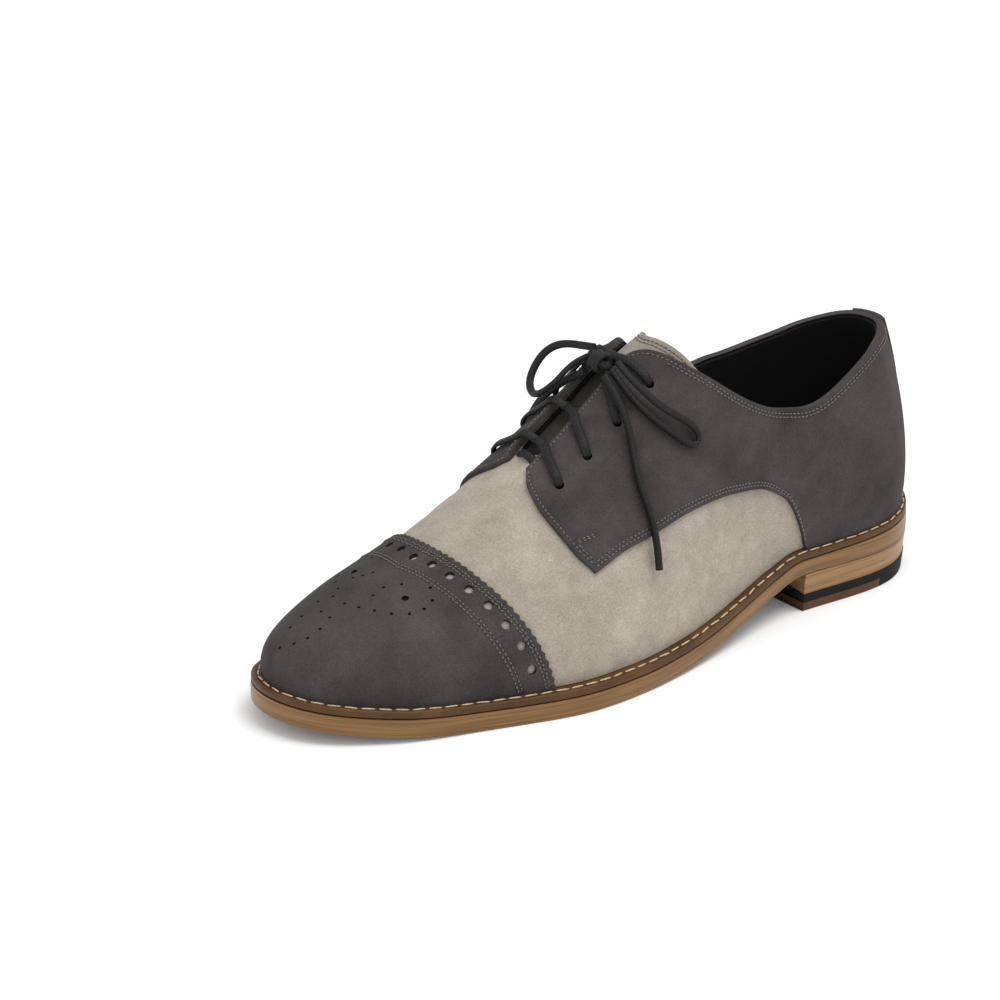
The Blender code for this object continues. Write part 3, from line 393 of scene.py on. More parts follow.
def arch(column, x):
    return smooth(ARCH["station"], ARCH[column], np.asarray(x, float) / LENGTH + 0.5)


def underside(x):
    return HEEL_HEIGHT * arch("heel", x) + TOE_SPRING * arch("toe", x)


def sole_top(x):
    thickness = SOLE_BACK * arch("back", x) + SOLE_WAIST * arch("waist", x) + SOLE_FORE * arch("fore", x)
    return underside(x) + thickness


def welt_bottom(x):
    return sole_top(x) + GAP


def welt_top(x):
    return welt_bottom(x) + WELT


def feather(x):
    """Height of the upper's lower edge."""
    return welt_top(x) + GAP


def welt_margin(t):
    """Width of welt that shows outside the upper."""
    blend = np.clip((np.asarray(t, float) - 0.30) / 0.25, 0.0, 1.0)
    return MARGIN_HEEL + (MARGIN_FORE - MARGIN_HEEL) * blend


OUTLINE_SAMPLES = np.linspace(0.0, 1.0, 801)
FEATHER = {side: inset_edge(OUTLINE_SAMPLES, side, welt_margin(OUTLINE_SAMPLES)) for side in (1, -1)}
TOE_X = float(FEATHER[1][0][-1])
BACK_X = float(FEATHER[1][0][0])
BACK_Y = float(FEATHER[1][1][0])
HEEL_AXIS_X = BACK_X + HEEL_RADIUS
FRONT_RUN = TOE_X - HEEL_AXIS_X
HEEL_RUN = 0.5 * math.pi * HEEL_RADIUS
BACK_RUN = HEEL_AXIS_X - HEEL_RUN


def run_at(station):
    """Run along the shoe in metres: x ahead of the heel axis, arc length behind it."""
    station = np.asarray(station, float)
    return HEEL_AXIS_X + np.where(station >= 0, station * FRONT_RUN, station * HEEL_RUN)


def station_at(run):
    ahead = np.asarray(run, float) - HEEL_AXIS_X
    return np.where(ahead >= 0, ahead / FRONT_RUN, ahead / HEEL_RUN)


def heel_radii(side):
    """Plan radius of the feather about the heel axis, against the angle from the side."""
    x, y = FEATHER[side]
    angle = np.arctan2(HEEL_AXIS_X - x, side * (y - BACK_Y))
    order = np.argsort(angle)
    return angle[order], np.hypot(x - HEEL_AXIS_X, y - BACK_Y)[order]


HEEL_RADII = {side: heel_radii(side) for side in (1, -1)}
SECTION_RUNS = run_at(SECTIONS["station"])
CREST_DEPTHS = np.sqrt(np.maximum(TOE_X - SECTION_RUNS, 0.0))


def section(column, run):
    return smooth(SECTION_RUNS, SECTIONS[column], run)


def crest_height(run):
    """Height of the crest over the feather, round at the toe like a nose."""
    depth = np.sqrt(np.maximum(TOE_X - np.asarray(run, float), 0.0))
    depths = np.append(CREST_DEPTHS, 0.0)[::-1]
    heights = np.append(SECTIONS["crest"], 0.0)[::-1]
    return UPPER_HEIGHT * smooth(depths, heights, depth)


def last_wall(side, run, up):
    """A point of the last's wall: up runs from 0 at the feather to 1 on the ridge."""
    name = "_out" if side > 0 else "_in"
    behind = run < HEEL_AXIS_X
    x = np.clip(run, HEEL_AXIS_X, TOE_X)
    angle = np.where(behind, (HEEL_AXIS_X - run) / HEEL_RADIUS, 0.0)
    ridge = np.where(behind, BACK_Y, section("ridge", x) * WIDTH)
    half = side * (np.interp(x, *FEATHER[side]) - ridge)
    reach = np.maximum(np.where(behind, np.interp(angle, *HEEL_RADII[side]), half), 0.0)
    base = feather(x - reach * np.sin(angle))
    crest = crest_height(run)
    a, b, c = (1 - up) ** 3, 3 * up * (1 - up) ** 2, 3 * up * up * (1 - up)
    out = a * reach + b * (reach + section("flare" + name, run) * WIDTH) + c * reach * section("flat" + name, run)
    height = base + crest * (b * section("rise" + name, run) + c + up ** 3)
    return np.stack([x - out * np.sin(angle), ridge + side * out * np.cos(angle), height], -1)


def on_last(side, run, up, offset=0.0):
    """Points on the last moved outward along its normal by offset."""
    run, up = np.broadcast_arrays(np.asarray(run, float), np.asarray(up, float))
    run = np.minimum(run, TOE_X - 1e-7)
    point = last_wall(side, run, up)
    step = 2e-4
    ahead = np.minimum(run + step, TOE_X - 1e-7)
    along = last_wall(side, ahead, up) - last_wall(side, ahead - 2 * step, up)
    climb = last_wall(side, run, np.minimum(up + 1e-3, 1.0)) - last_wall(side, run, np.maximum(up - 1e-3, 0.0))
    normal = np.cross(climb, along) * side
    size = np.linalg.norm(normal, axis=-1, keepdims=True)
    normal = np.where(size > 1e-14, normal / np.maximum(size, 1e-14), [1.0, 0.0, 0.0])
    ridge = (up > 0.9995)[..., None]
    flat = normal * [1.0, 0.0, 1.0]
    flat = flat / np.maximum(np.linalg.norm(flat, axis=-1, keepdims=True), 1e-14)
    normal = np.where(ridge, flat, normal)
    return point + normal * offset


def nose(offset):
    """The last's foremost point, where all its toe sections meet."""
    return np.array([TOE_X + offset, OUTLINE["outer"][-1] * WIDTH, float(feather(TOE_X))])


def up_where(side, run, reached):
    """The first up on each wall curve where reached(points) turns true."""
    ups = np.linspace(0.0, 1.0, 401)
    found = []
    for q in np.atleast_1d(run):
        measure = reached(last_wall(side, np.full(ups.shape, q), ups))
        beyond = np.nonzero(measure > 0)[0]
        if len(beyond) == 0 or beyond[0] == 0:
            found.append(1.0 if len(beyond) == 0 else 0.0)
            continue
        k = int(beyond[0])
        share = measure[k - 1] / (measure[k - 1] - measure[k])
        found.append(ups[k - 1] + (ups[k] - ups[k - 1]) * share)
    return np.array(found)


def facing_up(side, run):
    """Up of a flap's facing edge, half the gap from the middle of the lacing."""
    return up_where(side, run, lambda p: FACING_GAP / 2 - side * (p[:, 1] - FACING_MIDDLE))


def eyelet_up(side, run):
    """Up of an eyelet's centre, set in from the facing edge along the wall."""
    ups = np.linspace(0.0, float(facing_up(side, run)[0]), 201)[::-1]
    wall = last_wall(side, np.full(ups.shape, run), ups)
    return float(np.interp(EYELET_INSET, path_lengths(wall), ups))


def topline_up(side, run):
    """Up of the collar's edge."""
    height = UPPER_HEIGHT * smooth(run_at(TOPLINE["station"]), TOPLINE[SIDE_NAMES[side]], run)
    found = []
    for q, rise in zip(np.atleast_1d(run), np.atleast_1d(height)):
        base = last_wall(side, np.array([q]), np.array([0.0]))[0, 2]
        found.append(up_where(side, q, lambda p: p[:, 2] - base - rise)[0])
    return np.array(found)


def edge_table(side):
    """Collar and facing edge of one side against the run, with a round top corner."""
    runs = np.linspace(BACK_RUN, float(run_at(EDGE_END)), 240)
    facing = np.where(station_at(runs) < FACING_START, 1.0, facing_up(side, runs))
    collar = np.where(station_at(runs) > TOPLINE["station"][-1], 1.0, topline_up(side, runs))
    top = -CORNER_SOFTNESS * np.log(np.exp(-facing / CORNER_SOFTNESS) + np.exp(-collar / CORNER_SOFTNESS))
    even = np.convolve(np.pad(top, CORNER_REACH, "edge"), bell(CORNER_REACH, CORNER_SPREAD), "valid")
    top += (even - top) * np.clip(np.arange(len(runs)) / CORNER_REACH, 0.0, 1.0)
    return runs, np.clip(top, 0.0, 1.0)


EDGES = {side: edge_table(side) for side in (1, -1)}


def tongue_bend(across):
    """How far the tongue's top edge bends back from its middle, round on the ridge."""
    power = TONGUE_TOP_POWER / 2
    return (across ** 2 + TONGUE_TOP_SOFTNESS) ** power - TONGUE_TOP_SOFTNESS ** power


def top_edge(side, run):
    return np.interp(run, *EDGES[side])


def throat_edge(side, run):
    """Edge of the shell: the flap's edge behind the throat, closing to the ridge at it."""
    start = float(run_at(THROAT))
    opening = np.clip((start - np.asarray(run, float)) / (THROAT_ROUND * FRONT_RUN), 0.0, 1.0)
    share = np.sqrt(1 - (1 - opening) ** 2)
    return 1.0 + (top_edge(side, run) - 1.0) * share


def over_gap(run, share, offset):
    """A point over the lacing gap, share -1 at the medial facing edge to 1 at the lateral one."""
    y = FACING_MIDDLE + share * FACING_GAP / 2
    side = 1 if y >= float(section("ridge", run)) * WIDTH else -1
    up = float(up_where(side, run, lambda p: side * (y - p[:, 1]))[0])
    return on_last(side, run, up, offset)


def smooth_route(route, spacing):
    """Points a fixed spacing apart on a smooth curve through a route."""
    route = np.array(route, float)
    chord = path_lengths(route)
    fine = np.linspace(0.0, chord[-1], 600)
    curve = np.stack([natural(chord, route[:, axis], fine) for axis in range(3)], -1)
    run = path_lengths(curve)
    count = max(3, int(round(run[-1] / spacing)) + 1)
    return read_path(np.linspace(0.0, run[-1], count), run, curve)


FIT = 0.00015
ROLL = 0.0012
EDGE_SOFT = 0.0006
THIN_EDGE_SOFT = 0.0005
FURROW_WIDTH = 0.0005
SHALLOW_FURROW = 0.00016
CURL_RISE = 0.0022
CURL_WIDTH = 0.0045

# Cap: teeth of its rear edge, perforations and punched dots
CAP_TOOTH = 0.0034
CAP_TOOTH_DEPTH = 0.0009
PERFORATION = 0.0037
PERFORATION_STEP = 0.00945
PERFORATION_START = 0.0007
PERFORATIONS_EACH_WAY = 7
PUNCH = 0.0013

# Rows of stitches: how far each lies from the edge or seam that it follows
CAP_SEAM_ROW = 0.0008
CAP_FURROW = 0.0026
CAP_EDGE_ROWS = (0.0024, 0.0038)
QUARTER_ROWS = (0.0019, 0.0033)
COLLAR_FURROW = 0.0020
COLLAR_ROWS = (0.0021, 0.0035)
STRIP_ROW = 0.0018
TONGUE_ROWS = (0.0024, 0.0040)

# Stitches, the welt's inner edge and furrow, and the lace
FINE_PITCH = 0.0019
FINE_STITCH = 0.00135
FINE_THREAD = 0.00056
WELT_PITCH = 0.0063
WELT_STITCH = 0.0050
WELT_THREAD = 0.00085
WELT_INSIDE = WALL + GAP + MARGIN_HEEL / 2
GROOVE_SET = 0.0027
FLAT_WIDTH = 0.0036
FLAT_THICK = 0.0018
LACE_SPACING = 0.0010
BOW_WIDTH = 0.0031
BOW_THICK = 0.0026
BOW_SPACING = 0.0011
GUIDE_STEPS = 30

# Tongue: evening out over the ridge in samples, and how far its top is pressed flat, how wide and how far down
TONGUE_SPREAD = 5.0
TONGUE_REACH = 12
TONGUE_FLAT = 0.0008
TONGUE_FLAT_SHARE = 0.20
TONGUE_FLAT_END = 0.03
TONGUE_EDGE_SOFT = 0.0008

# Quarter: hollow at the instep by station and depth, and the stations where its rows of stitches begin and end
INSTEP = 0.452
INSTEP_LENGTH = 0.020
INSTEP_DEPTH = 0.0005
LOWER_ROWS_FROM = 0.137
LOWER_EDGE_FREE_FROM = 0.135
SECOND_COLLAR_ROW_TO = 0.36
EYELET_OPEN = 0.82

# Hollows in the vamp: station, lowest and highest up, depth, half width in station
VAMP_HOLLOWS = (
    (0.612, 0.35, 0.80, 0.00035, 0.009),
    (0.655, 0.50, 1.05, 0.00025, 0.008),
    (0.520, 0.05, 0.40, 0.00050, 0.014),
    (0.430, 0.05, 0.34, 0.00040, 0.016),
    (0.575, 0.18, 0.42, 0.00045, 0.010),
)

# Seam in front of the cap's perforated band, and the line of its perforations
CAP_SEAM = table("up station", [
    (0.000, 0.716), (0.039, 0.719), (0.172, 0.729), (0.397, 0.746), (0.689, 0.766), (1.000, 0.782),
])
CAP_HOLES = table("up station", [
    (0.000, 0.690), (0.153, 0.701), (0.286, 0.708), (0.415, 0.719), (0.533, 0.728),
    (0.661, 0.739), (0.764, 0.746), (0.886, 0.751), (1.000, 0.757),
])

# Medallion: station and up of each punched hole, on the lateral and on the medial half
MEDALLION_LATERAL = (
    (0.847, 0.927), (0.826, 0.937), (0.805, 0.892), (0.780, 0.781), (0.791, 0.710), (0.809, 0.685),
    (0.831, 0.696), (0.851, 0.749), (0.865, 0.826), (0.876, 0.905), (0.883, 0.990), (0.916, 0.953),
    (0.939, 0.904), (0.959, 0.894), (0.974, 0.948),
)
MEDALLION_MEDIAL = (
    (0.811, 0.924), (0.823, 0.893), (0.833, 0.854), (0.780, 0.781), (0.791, 0.710), (0.809, 0.685),
    (0.831, 0.696), (0.849, 0.760), (0.862, 0.850), (0.880, 0.890), (0.898, 0.830), (0.914, 0.953),
    (0.934, 0.850), (0.957, 0.850), (0.984, 0.908),
)
MEDALLION_EYES = ((1, 0.819, 0.800), (-1, 0.819, 0.800))

# Camera: azimuth and tilt in degrees, distance, middle of the picture right and up of the origin, lens
CAMERA = {"azimuth": 142.55, "tilt": 21.65, "distance": 1.6393, "right": -0.03828, "up": 0.05223, "lens": 152.3}

# Lights: name, place, target, size and power
LIGHTS = (
    ("key", (-0.3, 0.7, 2.1), (0.0, 0.0, 0.03), 1.5, 26.0),
    ("front", (1.7, 0.6, 1.1), (0.05, 0.0, 0.03), 1.2, 4.0),
)
SKY_STRENGTH = 0.78
FLOOR_GLOW = 0.06

# Noise in the materials, in waves per metre
PATCHES = 34.0
CLOUDS = 130.0
LEATHER_TONES = 60.0
STRANDS = 2600.0
NAP = (220.0, 420.0, 420.0)
FIBRES = (28.0, 1300.0, 1.0)
BROAD_FIBRES = (9.0, 190.0, 1.0)
BRAID = (260.0, 260.0, 1.0)
BRAID_ANGLE = 0.9

# Finish: roughness of wax and polish, and the angle from which an edge is drawn sharp
COAT_ROUGHNESS = 0.3
SHARP_ANGLE = 38.0


class Shading:
    """A material in the making: its Principled shader and the nodes that feed it."""

    def __init__(self, name, roughness, specular, coat=0.0, sheen=0.0, sheen_roughness=0.5, tint=(1.0, 1.0, 1.0)):
        self.made = bpy.data.materials.new(name)
        self.made.use_nodes = True
        self.tree = self.made.node_tree
        self.main = self.tree.nodes["Principled BSDF"]
        for socket, value in (("Roughness", roughness), ("Specular IOR Level", specular), ("Sheen Weight", sheen),
                              ("Sheen Roughness", sheen_roughness), ("Sheen Tint", (*tint, 1.0)),
                              ("Coat Weight", coat), ("Coat Roughness", COAT_ROUGHNESS)):
            self.main.inputs[socket].default_value = value
        coordinates = self.tree.nodes.new("ShaderNodeTexCoord")
        self.place, self.flat = coordinates.outputs["Object"], coordinates.outputs["UV"]

    def node(self, kind, output, inputs, **settings):
        """An output of a new node. Each input takes a value or another node's output."""
        node = self.tree.nodes.new("ShaderNode" + kind)
        for key, value in settings.items():
            setattr(node, key, value)
        for socket, value in inputs.items():
            if isinstance(value, bpy.types.NodeSocket):
                self.tree.links.new(value, node.inputs[socket])
            elif value is not None:
                node.inputs[socket].default_value = value
        return node.outputs[output]

    def math(self, operation, first, second=None, clamp=False):
        return self.node("Math", 0, {0: first, 1: second}, operation=operation, use_clamp=clamp)

    def noise(self, vector, scale, detail=3.0, roughness=0.55):
        return self.node("TexNoise", "Fac",
                         {"Vector": vector, "Scale": scale, "Detail": detail, "Roughness": roughness})

    def mapped(self, vector, scale, angle=0.0):
        return self.node("Mapping", "Vector", {"Vector": vector, "Scale": scale, "Rotation": (0.0, 0.0, angle)})

    def mixed(self, factor, first, second, kind="MULTIPLY"):
        return self.node("Mix", 2, {0: factor, 6: first, 7: second}, data_type="RGBA", blend_type=kind)

    def ramp(self, factor, *stops):
        """A colour between two stops, each a place and a colour or a grey level."""
        node = self.tree.nodes.new("ShaderNodeValToRGB")
        for element, (place, colour) in zip(node.color_ramp.elements, stops):
            element.position = place
            element.color = (*colour, 1.0) if isinstance(colour, tuple) else (colour, colour, colour, 1.0)
        self.tree.links.new(factor, node.inputs["Fac"])
        return node.outputs["Color"]

    def finished(self, colour, height, distance, strength):
        """The material, with its colour and its relief in place."""
        self.tree.links.new(colour, self.main.inputs["Base Color"])
        relief = self.node("Bump", "Normal", {"Height": height, "Distance": distance, "Strength": strength})
        self.tree.links.new(relief, self.main.inputs["Normal"])
        return self.made


def napped(name, dark, light, speck, sheen, fine=1500.0, depth=0.00012):
    """Nubuck or suede: brushed patches, a fine speckle and a short nap."""
    look = Shading(name, 0.92, 0.25, 0.0, sheen, 0.45, light)
    patches = look.ramp(look.noise(look.place, PATCHES, 5.0, 0.6), (0.32, dark), (0.68, light))
    clouds = look.ramp(look.noise(look.place, CLOUDS, 4.0, 0.65), (0.30, 0.90), (0.70, 1.10))
    grain = look.noise(look.place, fine, 2.0, 0.6)
    speckle = look.ramp(grain, (0.30, 1.0 - speck), (0.70, 1.0 + speck))
    brushed = look.noise(look.mapped(look.place, NAP), 1.0)
    nap = look.math("ADD", grain, look.math("MULTIPLY", brushed, 0.6))
    return look.finished(look.mixed(1.0, look.mixed(1.0, patches, clouds), speckle), nap, depth, 0.8)


def plain_leather(name, dark, light, roughness, grain=900.0, coat=0.0):
    look = Shading(name, roughness, 0.25, coat)
    base = look.ramp(look.noise(look.place, LEATHER_TONES, 4.0), (0.3, dark), (0.7, light))
    fine = look.noise(look.place, grain)
    return look.finished(look.mixed(0.35, base, look.ramp(fine, (0.3, 0.6), (0.7, 1.2))), fine, 0.0001, 0.6)


def stacked_leather(name, dark, light, line, layer, first):
    """A cut and waxed leather edge: long fibres and thin dark lines between its layers."""
    look = Shading(name, 0.42, 0.4, 0.15)
    fibres = look.noise(look.mapped(look.flat, FIBRES), 1.0, 4.0, 0.6)
    broad = look.noise(look.mapped(look.flat, BROAD_FIBRES), 1.0)
    value = look.math("ADD", look.math("MULTIPLY", fibres, 0.55), look.math("MULTIPLY", broad, 0.45))
    rise = look.math("SUBTRACT", look.node("SeparateXYZ", "Y", {0: look.flat}), first)
    phase = look.math("FRACT", look.math("DIVIDE", rise, layer))
    near = look.math("ABSOLUTE", look.math("SUBTRACT", phase, 0.5))
    mark = look.math("MULTIPLY", look.math("SUBTRACT", near, 0.44), 12.0, True)
    broken = look.math("MULTIPLY", mark, look.math("ADD", broad, 0.25), True)
    colour = look.mixed(broken, look.ramp(value, (0.34, dark), (0.62, light)), (*line, 1.0), "MIX")
    relief = look.math("SUBTRACT", look.math("MULTIPLY", fibres, 0.35), broken)
    return look.finished(colour, relief, 0.00025, 0.8)


def braided(name, colour):
    """Waxed round cotton: a fine diagonal braid on a dull black."""
    look = Shading(name, 0.55, 0.3, 0.0, 0.04, 0.4, (0.35, 0.33, 0.33))
    strands = [look.mapped(look.flat, BRAID, angle) for angle in (BRAID_ANGLE, -BRAID_ANGLE)]
    weave = look.math("MAXIMUM", *(look.node("TexWave", "Fac", {"Scale": 1.0, "Vector": strand}, wave_profile="SIN")
                                   for strand in strands))
    dark = tuple(c * 0.5 for c in colour)
    return look.finished(look.ramp(weave, (0.3, dark), (0.9, colour)), weave, 0.0002, 0.6)


def threaded(name, dark, light):
    look = Shading(name, 0.6, 0.4)
    strands = look.noise(look.place, STRANDS, 2.0)
    return look.finished(look.ramp(strands, (0.3, dark), (0.7, light)), strands, 0.0001, 0.6)


NUBUCK = napped("nubuck", (0.034, 0.0300, 0.0295), (0.067, 0.0580, 0.0570), 0.22, 0.10)
NUBUCK_BAND = napped("nubuck_band", (0.036, 0.031, 0.030), (0.067, 0.057, 0.055), 0.30, 0.10)
SUEDE = napped("suede", (0.305, 0.268, 0.216), (0.392, 0.348, 0.288), 0.20, 0.22, 1700.0, 0.0002)
# The tongue's suede is the vamp's suede painted darker: painted shade, as the tongue takes less light
TONGUE_SUEDE_SHADED = napped("tongue_suede_painted_shade", (0.245, 0.214, 0.176), (0.31, 0.276, 0.232), 0.18, 0.2, 1700.0, 0.0002)
# Painted shade: the tongue's suede as dark as it looks down in the shadowed lacing gap
TONGUE_GAP_SHADE = napped("tongue_painted_shade_in_lacing", (0.026, 0.024, 0.018), (0.044, 0.041, 0.032), 0.2, 0.1)
BACKING = napped("perforation_backing", (0.34, 0.315, 0.275), (0.42, 0.39, 0.35), 0.08, 0.1)
LINING = plain_leather("lining", (0.004, 0.0038, 0.0038), (0.007, 0.0066, 0.0066), 0.7)
CUT = plain_leather("cut_edge", (0.018, 0.016, 0.016), (0.030, 0.027, 0.026), 0.8)
# Near black for the walls of the punched holes: painted shade
PUNCH_SHADE = plain_leather("punched_painted_shade", (0.003, 0.003, 0.003), (0.006, 0.006, 0.006), 0.9)
WELT_FINISH = plain_leather("welt_leather", (0.052, 0.020, 0.004), (0.110, 0.048, 0.012), 0.5, 700.0, 0.04)
SOLE_FINISH = stacked_leather("sole_edge", (0.110, 0.049, 0.011), (0.262, 0.132, 0.034), (0.050, 0.021, 0.006),
                              0.0046, 0.0012)
LIFT_FINISH = stacked_leather("heel_edge", (0.175, 0.088, 0.028), (0.370, 0.208, 0.074), (0.070, 0.032, 0.012),
                              0.0034, 0.0004)
INSERT_FINISH = plain_leather("insert_leather", (0.058, 0.025, 0.009), (0.112, 0.050, 0.019), 0.6, 500.0)
RUBBER = plain_leather("rubber", (0.0030, 0.0026, 0.0026), (0.006, 0.0054, 0.0054), 0.75, 1400.0)
LACE_FINISH = braided("lace", (0.0085, 0.0076, 0.0076))
FINE_FINISH = threaded("fine_thread", (0.060, 0.055, 0.048), (0.190, 0.175, 0.155))
# Near black marks at the needle holes: painted shade
PIT_SHADE_FINISH = threaded("needle_hole_shade", (0.008, 0.007, 0.007), (0.014, 0.012, 0.012))
PALE_FINISH = threaded("suede_thread", (0.17, 0.15, 0.12), (0.28, 0.25, 0.20))
WELT_THREAD_FINISH = threaded("welt_thread", (0.34, 0.23, 0.13), (0.76, 0.61, 0.42))


def new_mesh(name, points, faces, *finishes):
    mesh = bpy.data.meshes.new(name)
    mesh.from_pydata(points, [], faces)
    for finish in finishes:
        mesh.materials.append(finish)
    return mesh


def placed(name, data):
    """A new object in the scene."""
    made = bpy.data.objects.new(name, data)
    bpy.context.scene.collection.objects.link(made)
    return made


def add_piece(name, points, faces, finishes, nodes=(), uvs=None, kinds=None, sharp=SHARP_ANGLE,
              outward=True):
    """An object of the shoe. kinds gives each face's finish, uvs each point's flat place in metres."""
    mesh = new_mesh(name, np.asarray(points, float).tolist(), [list(map(int, f)) for f in faces], *finishes)
    if kinds is not None:
        mesh.polygons.foreach_set("material_index", np.asarray(kinds, np.int32))
    if uvs is not None:
        corners = np.zeros(len(mesh.loops), np.int32)
        mesh.loops.foreach_get("vertex_index", corners)
        mesh.uv_layers.new(name="UVMap").data.foreach_set("uv", np.asarray(uvs, np.float32)[corners].ravel())
    shape = bmesh.new()
    shape.from_mesh(mesh)
    bmesh.ops.remove_doubles(shape, verts=shape.verts, dist=1e-6)
    bmesh.ops.dissolve_degenerate(shape, dist=1e-7, edges=shape.edges)
    if outward:
        bmesh.ops.recalc_face_normals(shape, faces=shape.faces)
        if shape.calc_volume(signed=True) < 0:
            bmesh.ops.reverse_faces(shape, faces=shape.faces)
    shape.to_mesh(mesh)
    shape.free()
    mesh.shade_smooth()
    mesh.set_sharp_from_angle(angle=math.radians(sharp))
    piece = placed(name, mesh)
    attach(piece, "root")
    if nodes:
        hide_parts(*nodes)
    return piece


def cut_away(piece, cutter):
    """Cuts the cutter's solids out of a piece, whose walls take the cutter's finish."""
    modifier = piece.modifiers.new("cut", "BOOLEAN")
    modifier.operation = "DIFFERENCE"
    modifier.object = cutter
    modifier.solver = "EXACT"
    modifier.material_mode = "TRANSFER"
    bpy.context.view_layer.update()
    result = bpy.data.meshes.new_from_object(piece.evaluated_get(bpy.context.evaluated_depsgraph_get()))
    piece.modifiers.clear()
    piece.data = result
    result.set_sharp_from_angle(angle=math.radians(SHARP_ANGLE))
    bpy.data.objects.remove(cutter, do_unlink=True)


def ring_faces(lower, upper):
    """Quads between two closed rings of point numbers."""
    return np.stack([lower, np.roll(lower, -1), np.roll(upper, -1), upper], -1).tolist()


def pin(side, run, up, radius, below, above=0.004):
    """A hole in the leather: centre, normal, radius, depth below and height above."""
    centre = on_last(side, run, up)
    return centre, on_last(side, run, up, 1.0) - centre, radius, below, above


def pin_ring(hole, depth, share, sides, half=0.0):
    """Points round a hole's normal, at a depth along it and a share of its radius away."""
    normal = Vector(hole[1]).normalized()
    across = normal.orthogonal().normalized()
    other = normal.cross(across)
    points = []
    for k in range(sides):
        angle = 2 * math.pi * (k + half) / sides
        rim = across * math.cos(angle) + other * math.sin(angle)
        points.append(tuple(Vector(hole[0]) + normal * depth + rim * hole[2] * share))
    return points


def add_cutter(name, holes, finish, sides=20):
    """Pins that cut holes through the leather."""
    points, faces = [], []
    for hole in holes:
        ring = np.arange(sides) + len(points)
        for depth in (-hole[3], hole[4]):
            points += pin_ring(hole, depth, 1.0, sides, 0.5)
        faces += [*ring_faces(ring, ring + sides), ring[::-1].tolist(), (ring + sides).tolist()]
    return placed(name, new_mesh(name, points, faces, finish))


def add_backing(holes, sides=20):
    """The pale leather that shows in each perforation, slightly bulged into it."""
    points, faces = [], []
    for hole in holes:
        ring = np.arange(sides) + len(points)
        for depth, share in ((-0.0002, 1.0), (0.0001, 0.99), (0.0003, 0.7)):
            points += pin_ring(hole, depth, share, sides)
        top = np.full(sides, len(points))
        points.append(tuple(Vector(hole[0]) + Vector(hole[1]).normalized() * 0.00036))
        faces += ring_faces(ring, ring + sides) + ring_faces(ring + sides, ring + 2 * sides)
        faces += [face[:3] for face in ring_faces(ring + 2 * sides, top)]
        faces.append(ring[::-1].tolist())
    add_piece("perforation_backing", points, faces, [BACKING])


def quads(index):
    """Quads of a grid of point numbers."""
    return np.stack([index[:-1, :-1], index[1:, :-1], index[1:, 1:], index[:-1, 1:]], -1).reshape(-1, 4)


def border(index):
    """Point numbers round the border of a grid."""
    return np.concatenate([index[0, :-1], index[:-1, -1], index[-1, :0:-1], index[:0:-1, 0]])


def lengths(grid, axis):
    """Arc length along one axis of a grid of points."""
    step = np.linalg.norm(np.diff(grid, axis=axis), axis=-1)
    first = np.zeros_like(np.take(step, [0], axis))
    return np.concatenate([first, np.cumsum(step, axis)], axis)


def rows_at(value, measure, columns):
    """The row at which a measure reaches a value, in each of some columns."""
    return np.array([np.interp(value, measure[:, int(j)], np.arange(len(measure))) for j in columns])


def spread(count, ends=(0.0, 0.002, 0.006)):
    """Shares from 0 to 1, evenly but with a few more close to both ends."""
    ends = np.array(ends)
    middle = np.linspace(0.012, 0.988, count)
    return np.concatenate([ends, middle, 1 - ends[::-1]])


def soft_edge(distance, radius=EDGE_SOFT):
    """How far a rounded edge falls at a distance from it."""
    d = np.clip(distance / radius, 0.0, 1.0)
    return radius * (1 - np.sqrt(1 - (1 - d) ** 2))


def pressed(distance, at, depth=0.00022):
    """The furrow that a row of stitches presses."""
    return depth * np.exp(-((distance - at) / FURROW_WIDTH) ** 2)


def fade(values, start, width):
    """0 up to a start and 1 from a width past it. A negative width fades downward."""
    return np.clip((values - start) / width, 0, 1)


def sample(grid, i, j):
    """A grid read between its points."""
    i = np.clip(i, 0, grid.shape[0] - 1.001)
    j = np.clip(j, 0, grid.shape[1] - 1.001)
    a, b = np.floor(i).astype(int), np.floor(j).astype(int)
    u, v = (i - a)[:, None], (j - b)[:, None]
    near = grid[a, b] * (1 - v) + grid[a, b + 1] * v
    far = grid[a + 1, b] * (1 - v) + grid[a + 1, b + 1] * v
    return near * (1 - u) + far * u


def on_shoe(across, run, offset=0.0, up=None):
    """Points of the last from the medial feather, -1, over the ridge, 0, to the lateral one, 1."""
    across, run = np.broadcast_arrays(np.asarray(across, float), np.asarray(run, float))
    up = 1 - np.abs(across) if up is None else up
    return np.where((across >= 0)[..., None], on_last(1, run, up, offset), on_last(-1, run, up, offset))


def stitch_shape(sides=6):
    """A short thread laid on leather, with its length 1 and its thickness 1."""
    places = ((-0.5, 0.30), (-0.40, 0.85), (-0.12, 1.0), (0.12, 1.0), (0.40, 0.85), (0.5, 0.30))
    points = [(x, math.cos(2 * math.pi * k / sides) * r / 2, math.sin(2 * math.pi * k / sides) * r / 2)
              for x, r in places for k in range(sides)]
    rings = np.arange(len(points)).reshape(-1, sides)
    faces = [face for pair in zip(rings[:-1], rings[1:]) for face in ring_faces(*pair)]
    return np.array(points), faces + [rings[0][::-1].tolist(), rings[-1].tolist()]


STITCH_POINTS, STITCH_FACES = stitch_shape()


